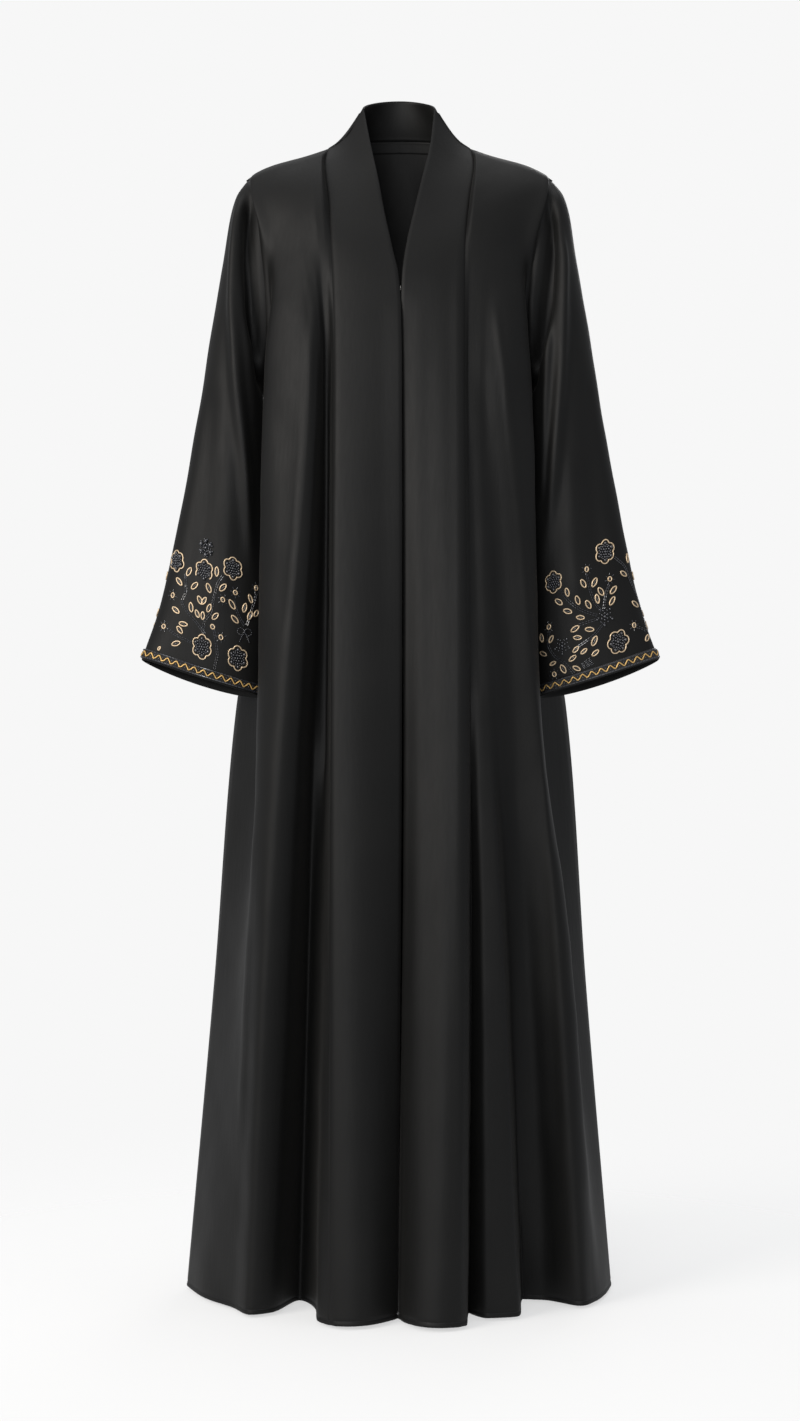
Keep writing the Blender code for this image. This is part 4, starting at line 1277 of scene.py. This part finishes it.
# How high the middles of cord, beads and rods lie on the cloth, in radii.
CORD_LIFT = 0.6
BEAD_LIFT = 0.65
STEM_RADIUS = 0.5
STEM_BEAD = 2.5
STEM_PITCH = 3.3
STEM_GAP = 2.2
STEM_STEPS = 8
ROD_LIFT = 0.8
SINGLE_RADIUS = 0.6
SINGLE_HEIGHT = 0.55
SINGLE_STEP = 3.0
SINGLE_TWIST = 900.0
PETALS = 6
PETAL_MIDDLE = 0.6
PETAL_ROUND = 0.4
FLOWER_WIDTH = 0.88
FLOWER_STEPS = 96
HALF_FLOWER = 0.72
HALF_FLOWER_FROM = 2.4
FLOWER_MIDDLE_BEAD = 1.7
BEAD_FLOWER_MIDDLE_BEAD = 2.0
LEAF_STEPS = 36
LEAF_BELLY = 0.19
LEAF_BELLY_VARIETY = (0.9, 1.1)
LEAF_POINTEDNESS = 0.35
LEAF_VEIN = 0.2
HEART_LEAN = 28
HEART_APART = 2.6
BLOSSOM_RADIUS = 2.3
BLOSSOM_LENGTH = 1.15
BLOSSOM_WANDER = 0.08
BLOSSOM_BEAD = 1.1
BLOSSOM_STEPS = 24
BLOSSOM_RAYS = 7
BLOSSOM_RAY_FROM = 4.5
BLOSSOM_RAY_TO = (6.3, 7.2)
BLOSSOM_RAY_HEIGHT = 0.5
BOW_BEAD = 0.8
BOW_KNOT_BEAD = 1.6
BOW_LOOP_BEADS = 13
BOW_LOOP_MIDDLE = (-1.0, 4.6)
BOW_LOOP_REACH = (4.2, 4.4)
BOW_TAIL_BEADS = 7
BOW_TAIL_START = (-2.2, 1.6)
BOW_TAIL_STEP = (-1.75, 0.75)
FAN_ROWS = 3
FAN_ROW_PITCH = 4.6
FAN_RODS = 5
FAN_ROD = 3.6
FAN_ROD_PITCH = 1.9
FAN_SPREAD = 0.042
BACK_MOTIFS_UP = 80

# The hand that sews: the order of its draws decides how uneven each motif is.
HAND = np.random.default_rng(41)
OUTLINE_WANDER = ((2, 0.03), (5, 0.02))
BEAD_WANDER = 0.2
BEAD_VARIETY = (0.92, 1.08)

# Beads round the middle one: how far out each lies, as a share of the flower's reach, how many degrees aside
# from the middle of its petal, and its radius. A ring of a spray has its share, its count and its radius.
FLOWER_BEADS = ((0.25, 30, 1.3), (0.45, 0, 1.4), (0.70, 0, 1.9), (0.6, 19, 1.1), (0.6, -19, 1.1),
                (0.47, 30, 1.1))
BEAD_FLOWER_BEADS = ((0.34, 30, 1.3), (0.4, 0, 1.0), (0.68, 0, 2.3), (0.86, 12, 1.2), (0.86, -12, 1.2),
                     (0.62, 24, 0.9))
SPRAY_MIDDLE_BEAD = 1.9
SPRAY_RINGS = ((0.4, 6, 1.3), (0.75, 9, 1.1), (1.0, 5, 1.5))

# Motifs of the front of each sleeve, in the order in which they are sewn. After its kind come the spots where
# it is: across from the middle of the front, up from the edge, its size, and the way it points in degrees.
Motif = namedtuple("Motif", "across up size turn")
MOTIFS = {
    "right": (
        ("flower", (-57, 125, 28, 104)),
        ("half flower", (-18, 124, 28, 98)),
        ("flower", (17, 138, 29, 98), (-5, 36, 30, 102), (40, 36, 31, 102)),
        ("bead flower", (-20, 151, 24, 98)),
        ("leaf", (-37, 117, 13, 71), (-48, 102, 13, 144), (-27, 103, 13, 55), (-2, 128, 13, 98),
         (-9, 106, 13, 121), (8, 112, 13, 57), (-27, 77, 13, 108), (-46, 68, 13, 158), (-33, 55, 13, 186),
         (-36, 47, 12, 143), (-37, 30, 13, 31)),
        ("heart", (-15, 89, 12, 98)),
        ("leaf", (-5, 83, 12, 78), (4, 76, 12, 57), (-18, 72, 11, 124), (-11, 72, 11, 100),
         (22, 96, 14, 133), (28, 80, 13, 146), (38, 97, 13, 83), (46, 90, 13, 74), (44, 110, 12, 120),
         (54, 95, 11, 64), (-57, 18, 7, 72)),
        ("blossom", (-54, 84, 7, 102), (10, 98, 7, 99), (24, 111, 7, 100), (-58, 45, 7, 106),
         (50, 125, 8, 97)),
        ("ring", (3, 63, 7, 101)),
        ("blossom", (15, 54, 7, 102)),
        ("bow", (42, 70, 20, 100)),
    ),
    "left": (
        ("flower", (36, 142, 30, 78), (-34, 127, 27, 82), (31, 34, 31, 55)),
        ("blossom", (9, 129, 7, 82), (36, 109, 7, 78), (56, 47, 7, 74), (-48, 77, 7, 78), (-53, 20, 7, 78)),
        ("leaf", (2, 114, 13, 111), (16, 111, 13, 52), (22, 98, 13, 115), (16, 91, 13, 93),
         (38, 95, 13, 34), (34, 83, 13, 45), (-19, 110, 12, 97), (-31, 102, 13, 134), (-8, 97, 13, 101),
         (4, 88, 13, 111), (-22, 88, 13, 149), (-8, 76, 12, 159), (-17, 65, 13, 19), (0, 59, 13, 159),
         (-16, 54, 12, 161), (3, 44, 14, 52), (-21, 41, 11, 31), (-12, 36, 11, 24), (1, 30, 12, 25),
         (-27, 32, 12, 22), (-25, 19, 12, 140), (-41, 23, 13, 108), (-52, 33, 10, 10), (-48, 62, 11, 50),
         (-60, 67, 12, 91), (-62, 48, 12, 142), (56, 110, 12, 139), (68, 127, 13, 78), (78, 106, 11, 88),
         (65, 71, 13, 138), (83, 60, 11, 70), (80, 44, 11, 82), (71, 28, 12, 38)),
        ("spray", (21, 68, 20, 77), (-36, 50, 19, 78)),
        ("fan", (-11, 21, 14, 14)),
    ),
}
# Stems run from flower to flower through these flat points.
STEMS = {
    "right": (
        ((-41, 112), (-37, 93), (-40, 80), (-30, 70), (-16, 61), (-6, 53)),
        ((5, 124), (1, 114), (-1, 97), (-2, 80), (-8, 64), (-7, 53)),
        ((-51, 44), (-41, 40), (-20, 37)),
        ((5, 60), (11, 45), (15, 30), (15, 16)),
        ((24, 100), (31, 87), (40, 77)),
        ((51, 117), (48, 101), (44, 79)),
    ),
    "left": (
        ((48, 131), (60, 117), (66, 97), (73, 77), (76, 55), (77, 38)),
        ((8, 122), (9, 104), (12, 88), (18, 76)),
        ((33, 102), (27, 92), (22, 78)),
        ((-27, 114), (-17, 97), (-4, 83), (11, 73)),
        ((-10, 68), (1, 68), (12, 68)),
        ((17, 60), (4, 51), (-19, 43)),
        ((-49, 71), (-53, 57), (-48, 41), (-38, 30), (-30, 15)),
        ((59, 45), (70, 38)),
    ),
}


def put(points, motif):
    """Turns a motif's own flat points the way that it points, and moves them to its place."""
    turn = math.radians(motif.turn)
    x, y = np.array(points, float).T
    across = motif.across + x * math.cos(turn) - y * math.sin(turn)
    return np.stack([across, motif.up + x * math.sin(turn) + y * math.cos(turn)], axis=1)


def petal_line(reach, turns):
    """A scalloped outline of six petals, sewn a little unevenly, for the turns that are asked for."""
    apart = 2 * math.pi / PETALS
    within = (turns + apart / 2) % apart - apart / 2
    out = PETAL_MIDDLE * np.cos(within) + np.sqrt(PETAL_ROUND**2 - (PETAL_MIDDLE * np.sin(within)) ** 2)
    wander = 1
    for waves, share in OUTLINE_WANDER:
        wander = wander + share * np.sin(turns * waves + HAND.uniform(0, 6))
    out = reach * out * wander
    return np.stack([out * np.cos(turns), out * np.sin(turns) * FLOWER_WIDTH], axis=1)


def sew_outline(motif, line, work, closed=True):
    work["cords"].append((put(line, motif), closed))


def sew_beads(motif, beads, work):
    beads = np.array(beads, float)
    beads[:, :2] += HAND.uniform(-BEAD_WANDER, BEAD_WANDER, (len(beads), 2))
    sizes = beads[:, 2] * HAND.uniform(*BEAD_VARIETY, len(beads))
    work["beads"] += [(across, up, size) for (across, up), size in zip(put(beads[:, :2], motif), sizes)]


def sew_petal_beads(motif, reach, middle, petal_beads, work):
    """One bead in the middle, and the same few beads in every petal."""
    beads = [(0, 0, middle)]
    for petal in range(PETALS):
        for out, aside, size in petal_beads:
            turn = math.radians(petal * 360 / PETALS + aside)
            beads.append((reach * out * math.cos(turn), reach * out * math.sin(turn) * FLOWER_WIDTH, size))
    sew_beads(motif, beads, work)


def sew_flower(motif, work):
    reach = motif.size / 2 - CORD_RADIUS
    turns = np.linspace(0, 2 * math.pi, FLOWER_STEPS + 1)[:-1]
    sew_outline(motif, petal_line(reach, turns), work)
    sew_petal_beads(motif, reach, FLOWER_MIDDLE_BEAD, FLOWER_BEADS, work)


def sew_half_flower(motif, work):
    """A flower whose outline is left open on one side."""
    reach = motif.size / 2 - CORD_RADIUS
    turns = np.linspace(0, 2 * math.pi * HALF_FLOWER, int(FLOWER_STEPS * HALF_FLOWER) + 1) - HALF_FLOWER_FROM
    sew_outline(motif, petal_line(reach, turns), work, False)
    sew_petal_beads(motif, reach, FLOWER_MIDDLE_BEAD, FLOWER_BEADS, work)


def sew_bead_flower(motif, work):
    sew_petal_beads(motif, motif.size / 2, BEAD_FLOWER_MIDDLE_BEAD, BEAD_FLOWER_BEADS, work)


def sew_leaf(motif, work):
    turns = np.linspace(0, 2 * math.pi, LEAF_STEPS + 1)[:-1]
    half = motif.size / 2 - CORD_RADIUS
    belly = motif.size * LEAF_BELLY * HAND.uniform(*LEAF_BELLY_VARIETY)
    width = belly * np.sin(turns) * np.abs(np.sin(turns)) ** LEAF_POINTEDNESS
    sew_outline(motif, np.stack([half * np.cos(turns), width], axis=1), work)
    vein = motif.size * LEAF_VEIN
    work["rods"].append((put([(-vein, 0), (vein, 0)], motif), SINGLE_HEIGHT))


def sew_heart(motif, work):
    """Two leaves side by side, which lean apart."""
    for aside in (-1, 1):
        across, up = put([(0, HEART_APART * aside)], motif)[0]
        sew_leaf(Motif(across, up, motif.size, motif.turn + HEART_LEAN * aside), work)


def sew_ring(motif, work):
    turns = np.linspace(0, 2 * math.pi, BLOSSOM_STEPS + 1)[:-1]
    radius = BLOSSOM_RADIUS * (1 + BLOSSOM_WANDER * np.sin(2 * turns + HAND.uniform(0, 6)))
    line = np.stack([radius * BLOSSOM_LENGTH * np.cos(turns), radius * np.sin(turns)], axis=1)
    sew_outline(motif, line, work)
    sew_beads(motif, [(0, 0, BLOSSOM_BEAD)], work)


def sew_blossom(motif, work):
    """A ring with short rays round it."""
    sew_ring(motif, work)
    start = HAND.uniform(0, 1)
    for ray in range(BLOSSOM_RAYS):
        turn = (ray + start) * 2 * math.pi / BLOSSOM_RAYS
        ends = (BLOSSOM_RAY_FROM, HAND.uniform(*BLOSSOM_RAY_TO))
        ray_line = [(out * math.cos(turn), out * math.sin(turn)) for out in ends]
        work["rods"].append((put(ray_line, motif), BLOSSOM_RAY_HEIGHT))


def sew_bow(motif, work):
    """Two loops and two tails of small beads over the foot of a spray."""
    beads = []
    for side in (-1, 1):
        for step in range(BOW_LOOP_BEADS):
            turn = step * 2 * math.pi / BOW_LOOP_BEADS
            along = BOW_LOOP_MIDDLE[0] + BOW_LOOP_REACH[0] * math.sin(turn)
            aside = BOW_LOOP_MIDDLE[1] + BOW_LOOP_REACH[1] * math.cos(turn)
            beads.append((along, side * aside, BOW_BEAD))
        for step in range(BOW_TAIL_BEADS):
            along, aside = (start + move * step for start, move in zip(BOW_TAIL_START, BOW_TAIL_STEP))
            beads.append((along, side * aside, BOW_BEAD))
    sew_beads(motif, beads + [(0, 0, BOW_KNOT_BEAD)], work)


def sew_spray(motif, work):
    """A loose cluster of larger beads where the stems meet."""
    beads = [(0, 0, SPRAY_MIDDLE_BEAD)]
    for ring, count, size in SPRAY_RINGS:
        for step in range(count):
            turn = (step + 0.5 * (ring > 0.5)) * 2 * math.pi / count
            out = motif.size / 2 * ring
            beads.append((out * math.cos(turn), out * math.sin(turn), size))
    sew_beads(motif, beads, work)


def sew_fan(motif, work):
    """A fan of bugle beads, sewn side by side in three short rows."""
    for row in range(FAN_ROWS):
        start = -motif.size / 2 + row * FAN_ROW_PITCH
        for rod in range(FAN_RODS):
            aside = rod - FAN_RODS // 2
            ends = [(out, aside * (FAN_ROD_PITCH + out * FAN_SPREAD)) for out in (start, start + FAN_ROD)]
            work["rods"].append((put(ends, motif), SINGLE_HEIGHT))


SEW = {
    "flower": sew_flower,
    "half flower": sew_half_flower,
    "bead flower": sew_bead_flower,
    "leaf": sew_leaf,
    "heart": sew_heart,
    "ring": sew_ring,
    "blossom": sew_blossom,
    "bow": sew_bow,
    "spray": sew_spray,
    "fan": sew_fan,
}


def sew_stem(points, moved, work):
    """A double row of bugle beads along a smooth line."""
    points = np.array(points, float) + (moved, 0)
    keys = run_along(points)
    line = through(keys, points, np.linspace(0, keys[-1], STEM_STEPS * len(points)))
    along = np.gradient(line, axis=0)
    aside = np.stack([-along[:, 1], along[:, 0]], axis=1) / np.linalg.norm(along, axis=1, keepdims=True)
    for gap in (-STEM_GAP / 2, STEM_GAP / 2):
        work["stems"].append(line + aside * gap)


def embroider(side, chart):
    """The front motifs of one sleeve, and the other sleeve's round its back."""
    work = {"cords": [], "beads": [], "rods": [], "stems": []}
    round_back = chart.rounds[BACK_MOTIFS_UP, -1] / 2
    other = "left" if side == "right" else "right"
    for sleeve, moved in ((side, 0.0), (other, round_back)):
        for kind, *spots in MOTIFS[sleeve]:
            for across, up, size, turn in spots:
                SEW[kind](Motif(across + moved, up, size, turn), work)
        for stem in STEMS[sleeve]:
            sew_stem(stem, moved, work)
    cords = [(on_sleeve(chart, line, CORD_RADIUS * CORD_LIFT), closed) for line, closed in work["cords"]]
    grow_piece(CORD_TREE, line_mesh("gold_outlines_" + side, cords), PALE_GOLD,
               Radius=CORD_RADIUS, Step=CORD_STEP, Twist=CORD_TWIST)
    beads = np.array(work["beads"])
    placed = [on_sleeve(chart, [(across, up)], size * BEAD_LIFT)[0] for across, up, size in beads]
    grow_piece(BEAD_TREE, bead_mesh("round_beads_" + side, placed, beads[:, 2]), GLASS)
    stems = [(on_sleeve(chart, line, STEM_RADIUS * ROD_LIFT), False) for line in work["stems"]]
    grow_piece(ROD_TREE, line_mesh("stem_beads_" + side, stems), GLASS,
               Radius=STEM_RADIUS, Length=STEM_BEAD, Pitch=STEM_PITCH)
    rods = [(on_sleeve(chart, line, height * ROD_LIFT), False) for line, height in work["rods"]]
    grow_piece(CORD_TREE, line_mesh("single_bugles_" + side, rods), GLASS,
               Radius=SINGLE_RADIUS, Step=SINGLE_STEP, Twist=SINGLE_TWIST)


for side, chart in charts.items():
    embroider(side, chart)


# ---- Hook and eye -----------------------------------------------------------------------------------------
# A small hook and eye of nickel-plated wire closes the band at the chest. Each is bent from one piece of
# wire, and they are the solids themselves, with the plate's finish on them.
def nickel():
    """Nickel plate on steel wire: bright, slightly warm, with drawing marks.

    The marks are 0.4 mm long, some ten times as coarse as real ones, so that they show.
    """
    material, tree, at = new_material("nickel_plated_wire")
    marks = add_node(tree, "ShaderNodeTexNoise", {"Vector": at, "Scale": 2500.0, "Detail": 2.0})
    rough = add_node(tree, "ShaderNodeMapRange", {"Value": marks, "To Min": 0.34, "To Max": 0.5})
    shader = add_node(tree, "ShaderNodeBsdfPrincipled",
                      {"Base Color": colour("#e6e4de"), "Metallic": 1.0, "Roughness": rough})
    add_node(tree, "ShaderNodeOutputMaterial", {"Surface": shader})
    return material


NICKEL = nickel()
for node in ("hook", "eye"):
    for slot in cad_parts[node].material_slots:
        slot.material = NICKEL


# ---- Stitching --------------------------------------------------------------------------------------------
# Black polyester thread. The hem is turned up once and stitched down all round, and a few stitches over each
# leg of the hook and the eye hold them to the inside of the band.
THREAD_RADIUS = 0.22
THREAD_STEP = 0.3
THREAD_TWIST = 1.2
STITCH_LENGTH = 2.3
STITCH_PITCH = 3.0
THREAD_LIFT = 0.8
HEM_THREAD_LIFT = 0.5
LOOP_POINTS = 9
LOOP_TURNS = (-20, 200)
WIRE_RADIUS = 0.5
HOOK_Z = -168.0
HOOK_AHEAD = 94.2

# Legs of the hook and the eye: where the stitches cross them, and how far each leg is from their middle.
Leg = namedtuple("Leg", "name crossings apart")
LEGS = (
    Leg("hook", (-7.2, -6.2, -5.2, -4.2), 1.5),
    Leg("eye", (4.4, 5.6, 6.8, 8.0), 3.4),
)


def sewing_thread():
    """Black polyester sewing thread: smooth filaments, a little brighter than the crepe round it.

    The filaments' shade varies over 0.5 mm, the length of thread that shows between two twists.
    """
    material, tree, at = new_material("black_polyester_thread")
    strand = add_node(tree, "ShaderNodeTexNoise", {"Vector": at, "Scale": 1800.0, "Detail": 2.0})
    tint = add_node(tree, "ShaderNodeMix",
                    {0: strand, 6: colour("#141416"), 7: colour("#232327")}, data_type="RGBA")
    shader = add_node(tree, "ShaderNodeBsdfPrincipled",
                      {"Base Color": tint.outputs[2], "Roughness": 0.42, "IOR": 1.5})
    add_node(tree, "ShaderNodeOutputMaterial", {"Surface": shader})
    return material


def hem_lines():
    """The line of stitches round the hem: across the back, both fronts and both ends of the band."""
    panels = [np.concatenate(surface, axis=2)[::-1] for surface in (back_surface, *front_surfaces.values())]
    band = np.concatenate(band_surface, axis=2)
    rows = [rows_at(panel, [HEM_TURN])[0] for panel in (*panels, band, band[::-1])]
    return [(row[:, :3] + row[:, 3:] * THREAD_RADIUS * HEM_THREAD_LIFT, False) for row in rows]


def hook_loops():
    """Loops of thread over both legs of the hook and the eye."""
    round_wire = WIRE_RADIUS + THREAD_RADIUS * THREAD_LIFT
    turns = np.radians(np.linspace(*LOOP_TURNS, LOOP_POINTS))
    ahead = HOOK_AHEAD - round_wire * np.sin(turns)
    loops = []
    for leg in LEGS:
        for x in leg.crossings:
            for z in (HOOK_Z + leg.apart, HOOK_Z - leg.apart):
                loops.append((place(x, ahead, z + round_wire * np.cos(turns)), False))
    return loops


def add_stitches():
    thread = sewing_thread()
    grow_piece(ROD_TREE, line_mesh("hem_stitches", hem_lines()), thread, "black_crepe",
               Radius=THREAD_RADIUS, Length=STITCH_LENGTH, Pitch=STITCH_PITCH)
    grow_piece(CORD_TREE, line_mesh("hook_stitches", hook_loops()), thread, "black_crepe",
               Radius=THREAD_RADIUS, Step=THREAD_STEP, Twist=THREAD_TWIST)


add_stitches()
